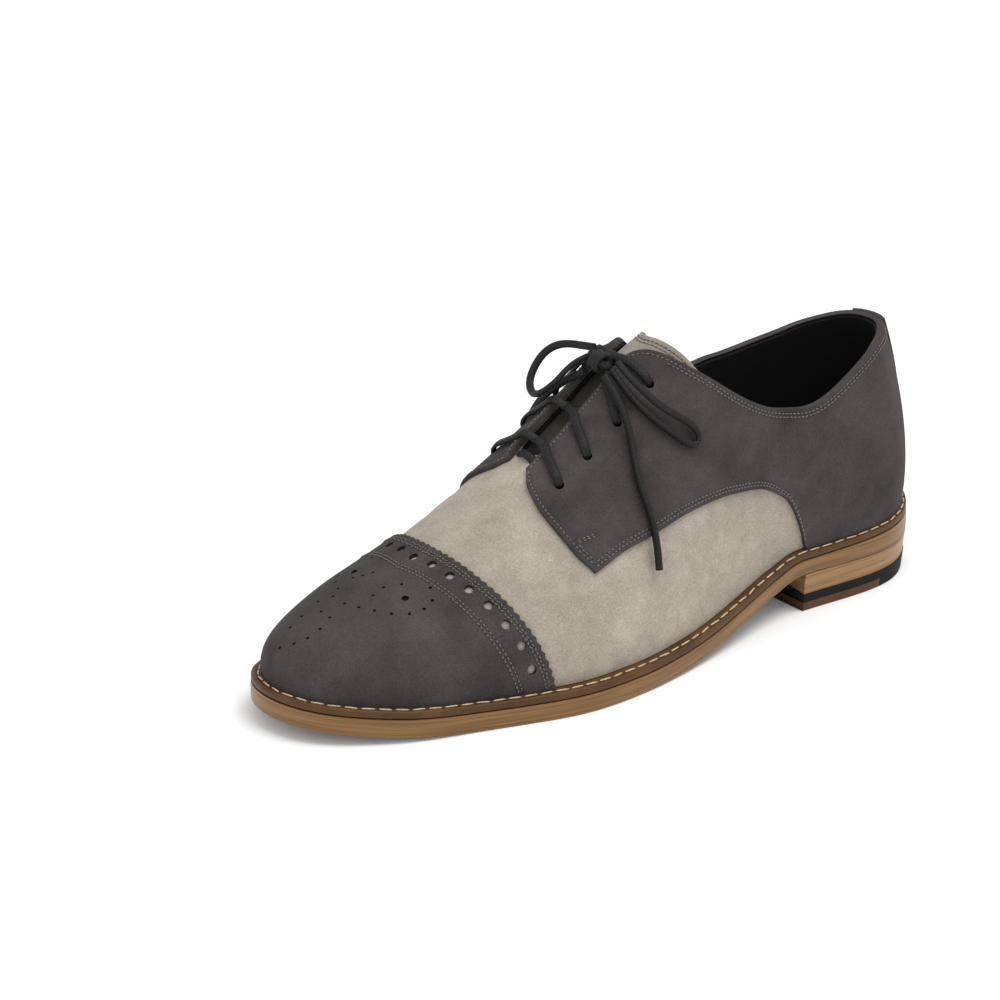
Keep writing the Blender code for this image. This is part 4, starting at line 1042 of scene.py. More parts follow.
class Thread:
    """All stitches of one kind of thread, gathered in one piece."""

    def __init__(self):
        self.points, self.faces, self.count = [], [], 0

    def sew(self, path, normals, pitch, length, thickness, lift=0.3, start=0.5, sway=0.0):
        """Stitches along a path of points, raised by a share of their thickness and slightly uneven."""
        path, normals = np.asarray(path, float), np.asarray(normals, float)
        run = path_lengths(path)
        for k in range(int(run[-1] / pitch)):
            middle = (k + start) * pitch
            uneven = math.sin(k * 2.4) + 0.6 * math.sin(k * 5.3 + 1.0)
            ends = [read_path(middle + s * length / 2, run, path) for s in (-1, 1)]
            normal = read_path(middle, run, normals)
            along = ends[1] - ends[0]
            size = np.linalg.norm(along)
            if size < 1e-6:
                continue
            along /= size
            normal -= along * normal.dot(along)
            normal /= np.linalg.norm(normal)
            side = np.cross(normal, along)
            along = along + side * sway * uneven
            along /= np.linalg.norm(along)
            side = np.cross(normal, along)
            size *= 1 + 0.5 * sway * math.sin(k * 3.7)
            centre = (ends[0] + ends[1]) / 2 + normal * thickness * lift
            local = STITCH_POINTS * [size, thickness, thickness * 0.8]
            self.points.append(centre + local[:, :1] * along + local[:, 1:2] * side + local[:, 2:] * normal)
            self.faces += [[i + self.count for i in face] for face in STITCH_FACES]
            self.count += len(STITCH_POINTS)

    def make(self, name, finish, slot):
        add_piece(name, np.concatenate(self.points), self.faces, [finish], sharp=80.0, outward=False)


FINE, PALE, WELT_ROW, PITS = Thread(), Thread(), Thread(), Thread()


class Leaf:
    """A piece of leather on the last, as a grid of its outer face."""

    def __init__(self, outer, inner, normals):
        self.outer, self.inner, self.normals = outer, inner, normals

    def sew(self, thread, i, j):
        """A row of fine stitches through points of the grid, each with a dark mark painted as the shade in its needle
        hole.
        """
        i, j = np.asarray(i, float), np.asarray(j, float)
        path, ways = sample(self.outer, i, j), sample(self.normals, i, j)
        thread.sew(path, ways, FINE_PITCH, FINE_STITCH, FINE_THREAD, sway=0.16)
        PITS.sew(path, ways, FINE_PITCH, FINE_PITCH * 0.36, FINE_THREAD * 1.1, 0.0, 1.0)

    def add(self, name, finishes, slot, nodes, kinds=None, edge=-1):
        """Adds the piece. kinds gives the finish of each outer face, edge that of the rim."""
        rows, columns = self.outer.shape[:2]
        low = np.arange(rows * columns).reshape(rows, columns)
        high = low + rows * columns
        face, rim = quads(low), ring_faces(border(low), border(high))
        marks = None
        if kinds is not None:
            last = len(finishes) - 1
            marks = [*kinds, *[last] * len(face), *[last if edge < 0 else edge] * len(rim)]
        points = np.concatenate([self.outer.reshape(-1, 3), self.inner.reshape(-1, 3)])
        return add_piece(name, points, [*face, *quads(high)[:, ::-1], *rim], finishes, nodes, kinds=marks)


def unit_normals(side, runs, ups):
    return on_last(side, runs, ups, 1.0) - on_last(side, runs, ups, 0.0)


def above_feather(points):
    points[..., 2] = np.maximum(points[..., 2], feather(points[..., 0]))
    return points


def vamp_swell(runs, ups):
    """Soft hollows where the vamp bends and where it draws in under the flaps."""
    station = station_at(runs)
    wave = np.zeros_like(runs)
    for at, low, high, depth, width in VAMP_HOLLOWS:
        lean = at + 0.05 * (ups - 0.5)
        band = fade(ups, low, 0.12) * fade(ups, high, -0.12)
        wave -= depth * band * np.exp(-((station - lean) / width) ** 2)
    return wave


def add_shell():
    """The lasted shell: suede outside, black lining within, open at the collar, throat and below."""
    rows = 46
    climb = np.concatenate([np.linspace(0.0, 0.97, rows - 4), [0.98, 0.99, 0.996, 1.0]])
    throat = float(run_at(THROAT))
    toe = TOE_X - (TOE_X - run_at(0.80)) * np.linspace(0.0, 1.0, 20) ** 2
    vamp = np.linspace(toe[-1], throat, 84)[1:]
    mouth = throat - THROAT_ROUND * FRONT_RUN * np.array([0.02, 0.07, 0.15, 0.3, 0.5, 0.75, 1.0])
    body = np.linspace(mouth[-1], HEEL_AXIS_X, 150)[1:]
    heel = np.linspace(HEEL_AXIS_X, BACK_RUN, 56)[1:]
    runs = np.concatenate([toe, vamp, mouth, body, heel])
    closed = len(toe) + len(vamp)
    points, faces, kinds, edges = [], [], [], []
    for side in (1, -1):
        top = np.ones(len(runs))
        top[closed:] = [float(throat_edge(side, q)) for q in runs[closed:]]
        wall = last_wall(side, np.repeat(runs[:, None], 40, 1), top[:, None] * np.linspace(0, 1, 40))
        top[closed:] *= 1 - ROLL / lengths(wall, 1)[closed:, -1]
        grid_runs = np.repeat(runs[:, None], rows, 1)
        grid_ups = top[:, None] * climb[None, :]
        for kind, offset in enumerate((0.0, -WALL)):
            raised = offset + (0.0 if kind else vamp_swell(grid_runs, grid_ups))
            normals = unit_normals(side, grid_runs, grid_ups)
            layer = on_last(side, grid_runs, grid_ups) + normals * np.broadcast_to(raised, grid_runs.shape)[..., None]
            layer[:, 0, 2] = feather(layer[:, 0, 0])
            layer[0, :] = nose(offset)
            layer[-1, :, 1] = BACK_Y
            index = np.arange(grid_runs.size).reshape(-1, rows) + grid_runs.size * len(points)
            points.append(layer.reshape(-1, 3))
            faces.append(quads(index))
            kinds.append(np.full(len(faces[-1]), kind))
            edges.append((index[:, 0], index[closed - 1:, -1]))
    for pair in (edges[:2], edges[2:]):
        for outer, inner in zip(*pair):
            faces.append(np.stack([outer[:-1], outer[1:], inner[1:], inner[:-1]], -1))
            kinds.append(np.ones(len(faces[-1])))
    return add_piece("upper_shell", np.concatenate(points), np.concatenate(faces), [SUEDE, LINING],
                     ["upper"], kinds=np.concatenate(kinds))


def add_cap():
    """The toe cap: a pinked rear edge, two seams, a row of perforations and a punched medallion."""
    across = np.unique(np.round(np.concatenate([-(1 - spread(150)), 1 - spread(150)]), 9))
    ups = 1 - np.abs(across)
    seam = run_at(smooth(CAP_SEAM["up"], CAP_SEAM["station"], ups))
    edge = run_at(np.where(across >= 0, smooth(CAP_EDGE["up"], CAP_EDGE["outer"], ups),
                           smooth(CAP_EDGE["up"], CAP_EDGE["inner"], ups)))
    front = np.linspace(0.0, 1.0, 52) ** 2
    band = np.append(np.linspace(0.0, 0.93, 26)[1:], [0.955, 0.975, 0.99, 1.0])
    along = path_lengths(on_shoe(across, edge))
    tooth = np.abs(2 * np.mod(along / CAP_TOOTH, 1.0) - 1) - 0.5
    runs = np.concatenate([TOE_X - front[:, None] * (TOE_X - seam)[None, :],
                           seam[None, :] + band[:, None] * (edge - seam)[None, :]])
    weight = np.concatenate([np.zeros(len(front)), fade(band, 0.80, 0.20)])
    runs = runs + weight[:, None] * tooth[None, :] * CAP_TOOTH_DEPTH
    grid = np.broadcast_to(across, runs.shape)
    base = on_shoe(grid, runs)
    normals = on_shoe(grid, runs, 1.0) - base
    back = lengths(base, 0)
    rear = back[-1:, :] - back
    ahead = back - back[len(front) - 1:len(front), :]
    height = LAP + OVERLAY - soft_edge(rear, THIN_EDGE_SOFT)
    height = height - pressed(ahead, CAP_SEAM_ROW) - pressed(ahead, -CAP_SEAM_ROW)
    height = height - pressed(rear, CAP_FURROW, SHALLOW_FURROW)
    outer, inner = base + normals * height[..., None], base + normals * FIT
    for layer, offset in ((outer, LAP + OVERLAY), (inner, FIT)):
        layer[0, :] = nose(offset)
        for side in (0, -1):
            layer[:, side, 2] = feather(layer[:, side, 0])
    leaf = Leaf(outer, inner, normals)
    kinds = np.zeros((runs.shape[0] - 1, runs.shape[1] - 1), int)
    kinds[len(front) - 1:, :] = 1
    cap = leaf.add("nubuck_cap", [NUBUCK, NUBUCK_BAND, CUT], "nubuck", ["toe_cap"], kinds.reshape(-1))
    columns = np.arange(2.0, runs.shape[1] - 2)
    for gap in (CAP_SEAM_ROW, -CAP_SEAM_ROW):
        leaf.sew(FINE, rows_at(gap, ahead, columns), columns)
    for gap in CAP_EDGE_ROWS:
        leaf.sew(FINE, rows_at(-gap, -rear, columns), columns)
    add_cap_holes(cap, across, ups)
    return cap


def add_cap_holes(cap, across, ups):
    """The row of perforations, each with pale leather behind it, and the punched medallion, its holes walled in near
    black as painted shade.
    """
    along = path_lengths(on_shoe(across, run_at(smooth(CAP_HOLES["up"], CAP_HOLES["station"], ups))))
    centre = np.interp(0.0, across, along) + PERFORATION_START
    holes = []
    for k in range(-PERFORATIONS_EACH_WAY, PERFORATIONS_EACH_WAY + 1):
        a = float(np.interp(centre + k * PERFORATION_STEP, along, across))
        run = float(run_at(smooth(CAP_HOLES["up"], CAP_HOLES["station"], 1 - abs(a))))
        holes.append(pin(1 if a >= 0 else -1, run, 1 - abs(a), PERFORATION / 2, 0.0005))
    cut_away(cap, add_cutter("perforation_pins", holes, CUT))
    add_backing(holes)
    dots = [(1, *dot, PUNCH) for dot in MEDALLION_LATERAL] + [(-1, *dot, PUNCH) for dot in MEDALLION_MEDIAL]
    dots += [(*eye, PUNCH * 2.2) for eye in MEDALLION_EYES]
    pins = [pin(side, run_at(station), up, size / 2, -0.0008) for side, station, up, size in dots]
    # Painted shade: the medallion's blind holes are walled in near black
    cut_away(cap, add_cutter("medallion_pins", pins, PUNCH_SHADE, 10))


def facing_curl(side, station, fall):
    """How far the medial flap's facing edge turns up between its eyelets."""
    if side > 0:
        return 0.0 * fall
    along = fade(station, 0.385, 0.02) * fade(station, 0.575, -0.02)
    return CURL_RISE * along * np.exp(-(fall / CURL_WIDTH) ** 2)


def add_quarter(name, side, node, shell):
    """A quarter with its lacing flap, its rolled top edge and its rows of stitches."""
    climb = spread(62, (0.0, 0.0015, 0.004, 0.008))
    share = spread(226, (0.0, 0.0006, 0.0016, 0.003, 0.006, 0.009))
    front = run_at(smooth(FLAP_FRONT["share"], FLAP_FRONT["station"], climb))
    runs = front[None, :] + (BACK_RUN - front)[None, :] * share[:, None]
    lower = smooth(run_at(QUARTER_LOWER["station"]), QUARTER_LOWER["up"], runs)
    ups = lower + (top_edge(side, runs) - lower) * climb[None, :]
    station = station_at(runs)
    base = on_last(side, runs, ups)
    normals = unit_normals(side, runs, ups)
    low, fore = lengths(base, 1), lengths(base, 0)
    fall = low[:, -1:] - low
    free = np.where(station > LOWER_EDGE_FREE_FROM, np.minimum(low, fore), fore)
    height = LAP + OVERLAY - soft_edge(np.minimum(free, fall))
    height = height - pressed(free, QUARTER_ROWS[0]) - pressed(free, QUARTER_ROWS[1]) - pressed(fall, COLLAR_FURROW)
    hollow = np.exp(-((station - INSTEP) / INSTEP_LENGTH) ** 2) * fade(ups, 0.40, 0.15)
    height = height - INSTEP_DEPTH * hollow * fade(fall, 0.0, 0.012) * fade(low, 0.0, 0.012)
    curl = facing_curl(side, station, fall)
    outer = base + normals * (height + curl)[..., None]
    tuck = np.clip(1 - fall / 0.0014, 0, 1) ** 0.5
    inner = base + normals * (FIT - (FIT + 0.55 * WALL) * tuck + curl * tuck)[..., None]
    leaf = Leaf(above_feather(outer), above_feather(inner), normals)
    quarter = leaf.add(name, [NUBUCK], "nubuck", [node])
    many, tall = runs.shape

    def read(grid, i, j):
        return sample(grid[..., None], i, j)[:, 0]

    def sew(i, j, keep):
        leaf.sew(FINE, i[keep], j[keep])

    for gap in QUARTER_ROWS:
        j = np.arange(tall)[::-1].astype(float)
        i = rows_at(gap, fore, j)
        keep = (read(low, i, j) >= gap) & (read(fall, i, j) >= 0.0022)
        if gap > 0.003:
            keep &= read(low, i, j) < 0.0125
        sew(i, j, keep)
        i = np.arange(many).astype(float)
        j = rows_at(gap, low.T, i)
        sew(i, j, (read(fore, i, j) >= gap) & (station_at(read(runs, i, j)) > LOWER_ROWS_FROM))
    for gap in COLLAR_ROWS:
        i = np.arange(many - 2).astype(float)
        j = rows_at(-gap, -fall.T, i)
        keep = read(fore, i, j) >= COLLAR_ROWS[0]
        if gap > 0.003:
            keep &= station_at(read(runs, i, j)) < SECOND_COLLAR_ROW_TO
        sew(i, j, keep)
    tack = np.linspace(0.0, 1.0, 12)
    i = np.interp(0.0035 + 0.0085 * tack, fore[:, 8], np.arange(many))
    j = np.array([np.interp(h, low[int(k)], np.arange(tall)) for h, k in zip(0.0128 - 0.0022 * tack, i)])
    for shift in (0.0, 1.0):
        leaf.sew(FINE, i, j + shift)
    eyelets = [float(run_at(station)) for station in EYELET_STATIONS]
    holes = [pin(side, run, eyelet_up(side, run), EYELET / 2 * EYELET_OPEN, 0.0034) for run in eyelets]
    cut_away(quarter, add_cutter("eyelet_pins", holes, CUT))
    cut_away(shell, add_cutter("shell_pins", holes, LINING))


def add_heel_strip():
    """The strip over the top of the back seam."""
    share, across = spread(34), 2 * spread(34) - 1
    half = (HEEL_STRIP_TOP + (HEEL_STRIP_FOOT - HEEL_STRIP_TOP) * share) * HEEL_RUN
    runs = BACK_RUN + np.abs(across)[None, :] * half[:, None]
    edge = np.where(across[None, :] >= 0, top_edge(1, runs), top_edge(-1, runs))
    ups = edge * (1 - HEEL_STRIP_LENGTH * share)[:, None]
    base = on_shoe(across[None, :], runs, 0.0, ups)
    normals = on_shoe(across[None, :], runs, 1.0, ups) - base
    wide, tall = lengths(base, 1), lengths(base, 0)
    to_side = np.minimum(wide, wide[:, -1:] - wide)
    to_end = np.minimum(tall, tall[-1:, :] - tall)
    height = 2 * LAP + OVERLAY + STRIP - soft_edge(np.minimum(to_side, to_end), THIN_EDGE_SOFT)
    height = height - pressed(to_side, STRIP_ROW, SHALLOW_FURROW)
    leaf = Leaf(base + normals * height[..., None], base + normals * (LAP + OVERLAY - 0.0001), normals)
    leaf.add("heel_tab", [NUBUCK_BAND], "nubuck", ["heel_strip"])
    rows = np.arange(3.0, len(share) - 3)
    leaf.sew(FINE, rows, rows_at(STRIP_ROW, wide.T, rows))
    leaf.sew(FINE, rows, len(across) - 1 - rows_at(STRIP_ROW, (wide[:, -1:] - wide)[:, ::-1].T, rows))
    low = np.arange(4.0, len(across) - 4)
    foot = np.interp(tall[-1, 17] - STRIP_ROW, tall[:, 17], np.arange(len(share)))
    leaf.sew(FINE, np.full(len(low), foot), low)


def add_tongue():
    """The tongue, suede outside and lined in black, with two rows along its top; its suede carries painted shade,
    darkest in the lacing gap.
    """
    share, across = spread(110), 2 * spread(84) - 1
    tip = TONGUE_TOP + TONGUE_TOP_ROUND * tongue_bend(across)
    station = TONGUE_FRONT + (tip[None, :] - TONGUE_FRONT) * share[:, None]
    ups = 1 - (1 - smooth(TONGUE_SIDE["station"], TONGUE_SIDE["up"], station)) * np.abs(across)[None, :]
    runs = run_at(station)
    base = on_shoe(across[None, :], runs, 0.0, ups)
    window = bell(TONGUE_REACH, TONGUE_SPREAD)
    padded = np.pad(base, ((0, 0), (TONGUE_REACH, TONGUE_REACH), (0, 0)), "edge")
    rounded = sum(weight * padded[:, k:k + len(across)] for k, weight in enumerate(window))
    base = base + (rounded - base) * fade(np.abs(across), 0.8, -0.4)[None, :, None]
    both = unit_normals(1, runs, ups), unit_normals(-1, runs, ups)
    shared = both[0] + both[1]
    shared /= np.linalg.norm(shared, axis=-1, keepdims=True)
    near = np.clip(1 - np.abs(across) / 0.22, 0, 1)[None, :, None] ** 2
    normals = np.where((across[None, :] >= 0)[..., None], *both) * (1 - near) + shared * near
    normals /= np.linalg.norm(normals, axis=-1, keepdims=True)
    tall, wide = lengths(base, 0), lengths(base, 1)
    end = tall[-1:, :] - tall
    rim = soft_edge(np.minimum(end, np.minimum(wide, wide[:, -1:] - wide)), TONGUE_EDGE_SOFT)
    flat = TONGUE_FLAT * np.exp(-(across / TONGUE_FLAT_SHARE) ** 2)[None, :]
    flat = flat * np.clip(1 - end / TONGUE_FLAT_END, 0, 1)
    outer_at = -WALL - TONGUE_LIFT - rim - pressed(end, TONGUE_ROWS[0]) - pressed(end, TONGUE_ROWS[1]) - flat
    inner_at = -WALL - TONGUE_LIFT - TONGUE + rim - flat
    leaf = Leaf(base + normals * outer_at[..., None], base + normals * inner_at[..., None], normals)
    # Painted shade: past this station the tongue lies in the lacing gap and takes the dark finish
    gap_shade = (station[:-1, :-1] > GAP_SHADE_FROM).astype(int)
    leaf.add("suede_tongue", [TONGUE_SUEDE_SHADED, TONGUE_GAP_SHADE, LINING], "suede", ["tongue"], gap_shade.reshape(-1), 0)
    columns = np.arange(1.0, len(across) - 1)
    for gap in TONGUE_ROWS:
        leaf.sew(PALE, rows_at(-gap, -end, columns), columns)


def add_slab(name, turns, rows, finishes, node, hollow=0.0):
    """A slab of the sole between two half turns. rows: inset and height, from the bottom up."""
    points, uvs, rings = [], [], []
    cut_front, cut_back = turns[-1] < 1.0, turns[0] > 0.0
    bow = np.linspace(1.0, -1.0, 31)[1:-1]

    def breast(first, last):
        way = first + (last - first) * ((1 - bow) / 2)[:, None]
        return [way - np.stack([hollow * (1 - bow ** 2), 0 * bow], -1)]

    for inset, height in rows:
        outer, inner = (np.stack(inset_edge(turns, side, inset), -1) for side in (1, -1))
        ring = np.concatenate([outer, *(breast(outer[-1], inner[-1]) if cut_front else []), inner[::-1],
                               *(breast(inner[0], outer[0]) if cut_back else [])])
        z = np.broadcast_to(np.asarray(height(ring[:, 0]), float), ring[:, 0].shape)
        points.append(np.column_stack([ring, z]))
        uvs.append(np.column_stack([path_lengths(ring), z - np.asarray(rows[0][1](ring[:, 0]))]))
        rings.append(np.arange(len(ring)) + len(rings) * len(ring))
    faces = [face for pair in zip(rings[:-1], rings[1:]) for face in ring_faces(*pair)]
    kinds = [0] * len(faces)
    steps = len(turns)
    middle = len(bow) if cut_front else 0
    for ring in (rings[0], rings[-1]):
        outer = ring[:steps]
        inner = ring[steps + middle:2 * steps + middle][::-1]
        caps = np.stack([outer[:-1], outer[1:], inner[1:], inner[:-1]], -1).tolist()
        if cut_front:
            caps.append([outer[-1], *ring[steps:steps + middle], inner[-1]])
        if cut_back:
            caps.append([inner[0], *ring[2 * steps + middle:], outer[0]])
        faces += caps
        kinds += [len(finishes) - 1] * len(caps)
    return add_piece(name, np.concatenate(points), faces, finishes, [node], np.concatenate(uvs), kinds)


def level(height):
    return lambda x: height + 0.0 * x


def between(bottom, top, share):
    return lambda x: bottom(x) + (top(x) - bottom(x)) * share


def add_sole():
    """Outsole, welt, sock and the three pieces of the heel, each at its solid's place."""
    turns = np.linspace(0.0, 1.0, 240)
    low, high = EDGE_ROUND, EDGE_ROUND * 0.7
    side = [(0.00012 * (2 * s - 1) ** 4, between(lambda x: underside(x) + low, lambda x: sole_top(x) - high, s))
            for s in np.linspace(0.0, 1.0, 7)]
    add_slab("leather_outsole", turns, [
        (low, underside),
        (low * 0.45, lambda x: underside(x) + low * 0.12),
        (low * 0.12, lambda x: underside(x) + low * 0.45),
        *side,
        (high * 0.25, lambda x: sole_top(x) - high * 0.25),
        (high, sole_top),
    ], [SOLE_FINISH, INSERT_FINISH], "outsole")
    add_welt(turns)
    edge = welt_margin(turns) + WELT_INSIDE + GAP
    add_slab("sock", turns, [
        (edge, lambda x: sole_top(x) + GAP),
        (edge, lambda x: feather(x) + INSOLE - 0.0008),
        (edge + 0.0003, lambda x: feather(x) + INSOLE - 0.0002),
        (edge + 0.0010, lambda x: feather(x) + INSOLE),
    ], [LINING], "insole")
    breast = -0.5 * LENGTH + HEEL_LENGTH
    heel_end = float(turn(np.array(breast / LENGTH + 0.5)))
    heel = np.linspace(0.0, heel_end, 90)
    taper = HEEL_TAPER * 0.5
    rows = []
    for s in np.linspace(0.0, 1.0, 13):
        at_layer = abs((s * 3.0) % 1.0 - 0.5) > 0.42 and 0.05 < s < 0.95
        rows.append((GAP + taper * (1 - s) + 0.00010 * at_layer,
                     lambda x, s=s: TOP_PIECE + 0.0001 + (underside(x) - 0.0002 - TOP_PIECE) * s))
    add_slab("stacked_heel", heel, rows, [LIFT_FINISH], "heel_lift", BREAST_HOLLOW)
    rubber = add_slab("top_piece", heel, [
        (HEEL_TAPER + 0.0004, level(0.0)),
        (HEEL_TAPER, level(0.0004)),
        (taper, level(TOP_PIECE - 0.0003)),
        (taper + 0.0002, level(TOP_PIECE)),
    ], [RUBBER], "heel_rubber", BREAST_HOLLOW)
    insert_back = breast - INSERT_LENGTH
    cut_away(rubber, add_pocket(insert_back, breast))
    start = float(turn(np.array(insert_back / LENGTH + 0.5)))
    add_slab("leather_insert", np.linspace(start, heel_end, 60), [
        (HEEL_TAPER + 0.0003, level(0.0)),
        (HEEL_TAPER, level(0.0003)),
        (HEEL_TAPER * (1 - 0.5 * INSERT_HEIGHT / TOP_PIECE), level(INSERT_HEIGHT)),
    ], [INSERT_FINISH], "heel_leather_insert", BREAST_HOLLOW)


def add_pocket(back, front):
    """The room in the top piece for its leather insert."""
    ys = np.linspace(-WIDTH / 2, WIDTH / 2, 31)
    bow = BREAST_HOLLOW * np.clip(1 - ((ys - BACK_Y) / (WIDTH * 0.29)) ** 2, 0, None)
    points = []
    for z in (-TOP_PIECE, INSERT_HEIGHT + 0.0001):
        points += [(back - 0.0001 - b, y, z) for y, b in zip(ys, bow)]
        points += [(front + TOP_PIECE, y, z) for y in ys[::-1]]
    ring = np.arange(2 * len(ys))
    upper = ring + len(ring)
    mesh = new_mesh("insert_pocket", points, [*ring_faces(ring, upper), ring[::-1].tolist(), upper.tolist()], RUBBER)
    shape = bmesh.new()
    shape.from_mesh(mesh)
    bmesh.ops.recalc_face_normals(shape, faces=shape.faces)
    shape.to_mesh(mesh)
    shape.free()
    return placed("insert_pocket", mesh)


def add_welt(turns):
    """The welt, rounded outside, with its stitches in a furrow beside the upper."""
    margin = welt_margin(turns)
    edge, groove, inside = WELT_INSET + 0 * turns, margin - GROOVE_SET, margin + WELT_INSIDE
    profile = [
        (edge + 0.0006, 0.0),
        (edge + 0.00015, 0.00025),
        (edge, 0.0008),
        (edge, WELT - 0.0009),
        (edge + 0.00025, WELT - 0.00035),
        (edge + 0.0007, WELT),
        (groove - 0.0009, WELT),
        (groove - 0.0004, WELT - 0.00035),
        (groove, WELT - 0.0005),
        (groove + 0.0004, WELT - 0.00035),
        (groove + 0.0009, WELT),
        (inside, WELT),
        (inside, 0.0),
    ]

    def loop(inset, last):
        outer, inner = (np.stack(inset_edge(turns, side, inset), -1) for side in (1, -1))
        return np.concatenate([outer, inner[::-1][1:last]])

    points, uvs, rings = [], [], []
    for k, (inset, rise) in enumerate(profile):
        ring = loop(inset, -1)
        points.append(np.column_stack([ring, welt_bottom(ring[:, 0]) + rise]))
        uvs.append(np.column_stack([path_lengths(ring), np.full(len(ring), 0.001 * k)]))
        rings.append(np.arange(len(ring)) + k * len(ring))
    faces = [face for k, ring in enumerate(rings) for face in ring_faces(ring, rings[(k + 1) % len(rings)])]
    add_piece("stitched_welt", np.concatenate(points), faces, [WELT_FINISH], ["welt"],
              np.concatenate(uvs))
    ring = loop(groove, None)
    path = np.column_stack([ring, welt_top(ring[:, 0]) - 0.0004])
    WELT_ROW.sew(path, np.tile([0.0, 0.0, 1.0], (len(path), 1)), WELT_PITCH, WELT_STITCH, WELT_THREAD, 0.35,
                 sway=0.10)


def ribbon(path, normals, width, thick, sides=12, furrow=0.0):
    """Points, faces and flat places of a flattened cord whose broad side faces the normals."""
    path, normals = np.asarray(path, float), np.asarray(normals, float)
    width = np.broadcast_to(width, len(path))
    run = path_lengths(path)
    points, uvs = [], []
    for i, centre in enumerate(path):
        ahead = path[min(i + 1, len(path) - 1)] - path[max(i - 1, 0)]
        ahead = ahead / np.linalg.norm(ahead)
        normal = normals[i] - ahead * normals[i].dot(ahead)
        normal = normal / np.linalg.norm(normal)
        side = np.cross(ahead, normal)
        for k in range(sides):
            angle = 2 * math.pi * k / sides
            c, s = math.cos(angle), math.sin(angle)
            flat = 1.0 - furrow * math.exp(-(c / 0.35) ** 2)
            across = math.copysign(abs(c) ** 0.85, c) * width[i] / 2
            points.append(centre + side * across + normal * s * flat * thick / 2)
            uvs.append((run[i], (width[i] + thick) * 1.3 * k / sides))
    index = np.arange(len(points)).reshape(-1, sides)
    faces = [face for pair in zip(index[:-1], index[1:]) for face in ring_faces(*pair)]
    return points, faces + [index[0][::-1].tolist(), index[-1].tolist()], uvs


def even_path(route, spacing, normals):
    """A smooth route, and the normals that follow it, at even steps."""
    chord = path_lengths(np.asarray(route, float))
    even = smooth_route(route, spacing)
    share = np.linspace(0.0, chord[-1], len(even))
    return even, read_path(share, chord, np.asarray(normals))


def gap_normal(run, share):
    """The way up over the lacing gap."""
    return over_gap(run, share, 0.01) - over_gap(run, share, 0.0)


def add_lace(name, node, parts):
    """One piece of lace from the points, faces and flat places of its parts."""
    points, faces, uvs = [], [], []
    for p, f, u in parts:
        faces += [[i + len(points) for i in face] for face in f]
        points += list(p)
        uvs += list(u)
    return add_piece(name, points, faces, [LACE_FINISH], [node], uvs, sharp=70.0)


def lace_run(side, start, end, over):
    """A lace from its eyelet over its flap's edge and down under the other flap."""
    q0, q1 = float(run_at(start)), float(run_at(end))
    mid = q0 + (q1 - q0) * CROSSING_RISE
    up = eyelet_up(side, q0)
    near = float(facing_up(side, mid)[0])
    high = LAP + OVERLAY + FLAT_THICK / 2 + 0.0002
    route, normals = [], []
    # Share of the way ahead, share of the climb to the facing edge, and height over the last
    for a, b, rise in ((0.0, 0.0, -0.0022), (0.0, 0.0, -0.0002), (0.03, 0.05, high * 0.75),
                       (0.10, 0.14, high + 0.0003), (0.35, 0.42, high + 0.0004), (0.70, 0.80, high + 0.0003),
                       (0.92, 0.97, high + 0.0001)):
        run, climb = q0 + (mid - q0) * a, up + (near - up) * b
        curl = float(facing_curl(side, np.array(start), np.array(EYELET_INSET * (1 - b))))
        route.append(on_last(side, run, climb, rise + curl))
        normals.append(unit_normals(side, np.array([run]), np.array([climb]))[0])
    normals[0] = normals[1] = route[4] - route[2]
    # Share of the rest of the way, place across the gap, and height
    for ahead, share, rise in ((0.0, 0.35, high * 0.55 + over + curl * 0.6), (0.05, -0.25, high * 0.20 + over),
                               (0.14, -0.80, -0.0002), (0.20, -1.20, -0.0016)):
        route.append(over_gap(mid + (q1 - mid) * ahead, share * side, rise))
        normals.append(gap_normal(mid, share * side))
    path, ways = even_path(route, LACE_SPACING, normals)
    width = FLAT_WIDTH * np.clip(0.72 + np.arange(len(path)) * 0.05, 0.72, 1.0)
    return ribbon(path, ways, width, FLAT_THICK, 12, 0.10)


def add_laces():
    """The bottom bar and the crossings between the flaps."""
    first = float(run_at(EYELET_STATIONS[0]))
    above = 0.0003 + FLAT_THICK / 2
    route = [over_gap(first, share, rise) for share, rise in ((1.5, -0.0012), (1.0, -0.0001), (0.5, above),
                                                              (-0.5, above), (-1.0, -0.0001), (-1.5, -0.0012))]
    path, ways = even_path(route, LACE_SPACING, [gap_normal(first, 0.0)] * len(route))
    add_lace("lace_bottom_bar", "lace_bar", [ribbon(path, ways, FLAT_WIDTH, FLAT_THICK, 12, 0.10)])
    stops = [*EYELET_STATIONS, KNOT_STATION]
    for k, (start, end) in enumerate(zip(stops[:-1], stops[1:])):
        add_lace("lace_run_%d" % (k + 1), "lace_crossing_%d" % (k + 1),
                 [lace_run(side, start, end, 0.0011 * (1 + side) / 2) for side in (1, -1)])


def add_knot():
    """The knot: two turns side by side round a core that the loops leave."""
    up = np.array(KNOT_UP) / np.linalg.norm(KNOT_UP)
    toe = np.array(KNOT_TOEWARD)
    toe = toe - up * toe.dot(up)
    toe = toe / np.linalg.norm(toe)
    side = np.cross(up, toe)
    middle = np.array(KNOT_MIDDLE)
    parts = []
    angles = np.linspace(0, 2 * math.pi, 34)
    for shift, lean, width, height in KNOT_TURNS:
        path = [middle + side * (shift + lean * 0.006 * math.sin(a)) + toe * math.cos(a) * (width - 0.0028) / 2
                + up * math.sin(a) * (height - 0.0026) / 2 for a in angles]
        ways = [toe * math.cos(a) + up * math.sin(a) for a in angles]
        parts.append(ribbon(path, ways, 0.0031, 0.0024, 10, 0.08))
    path = smooth_route([middle + side * a + toe * b + up * c for a, b, c in KNOT_CORE], 0.0008)
    parts.append(ribbon(path, [up] * len(path), 0.0034, 0.0040, 10))
    add_lace("bow_knot", "lace_knot", parts)


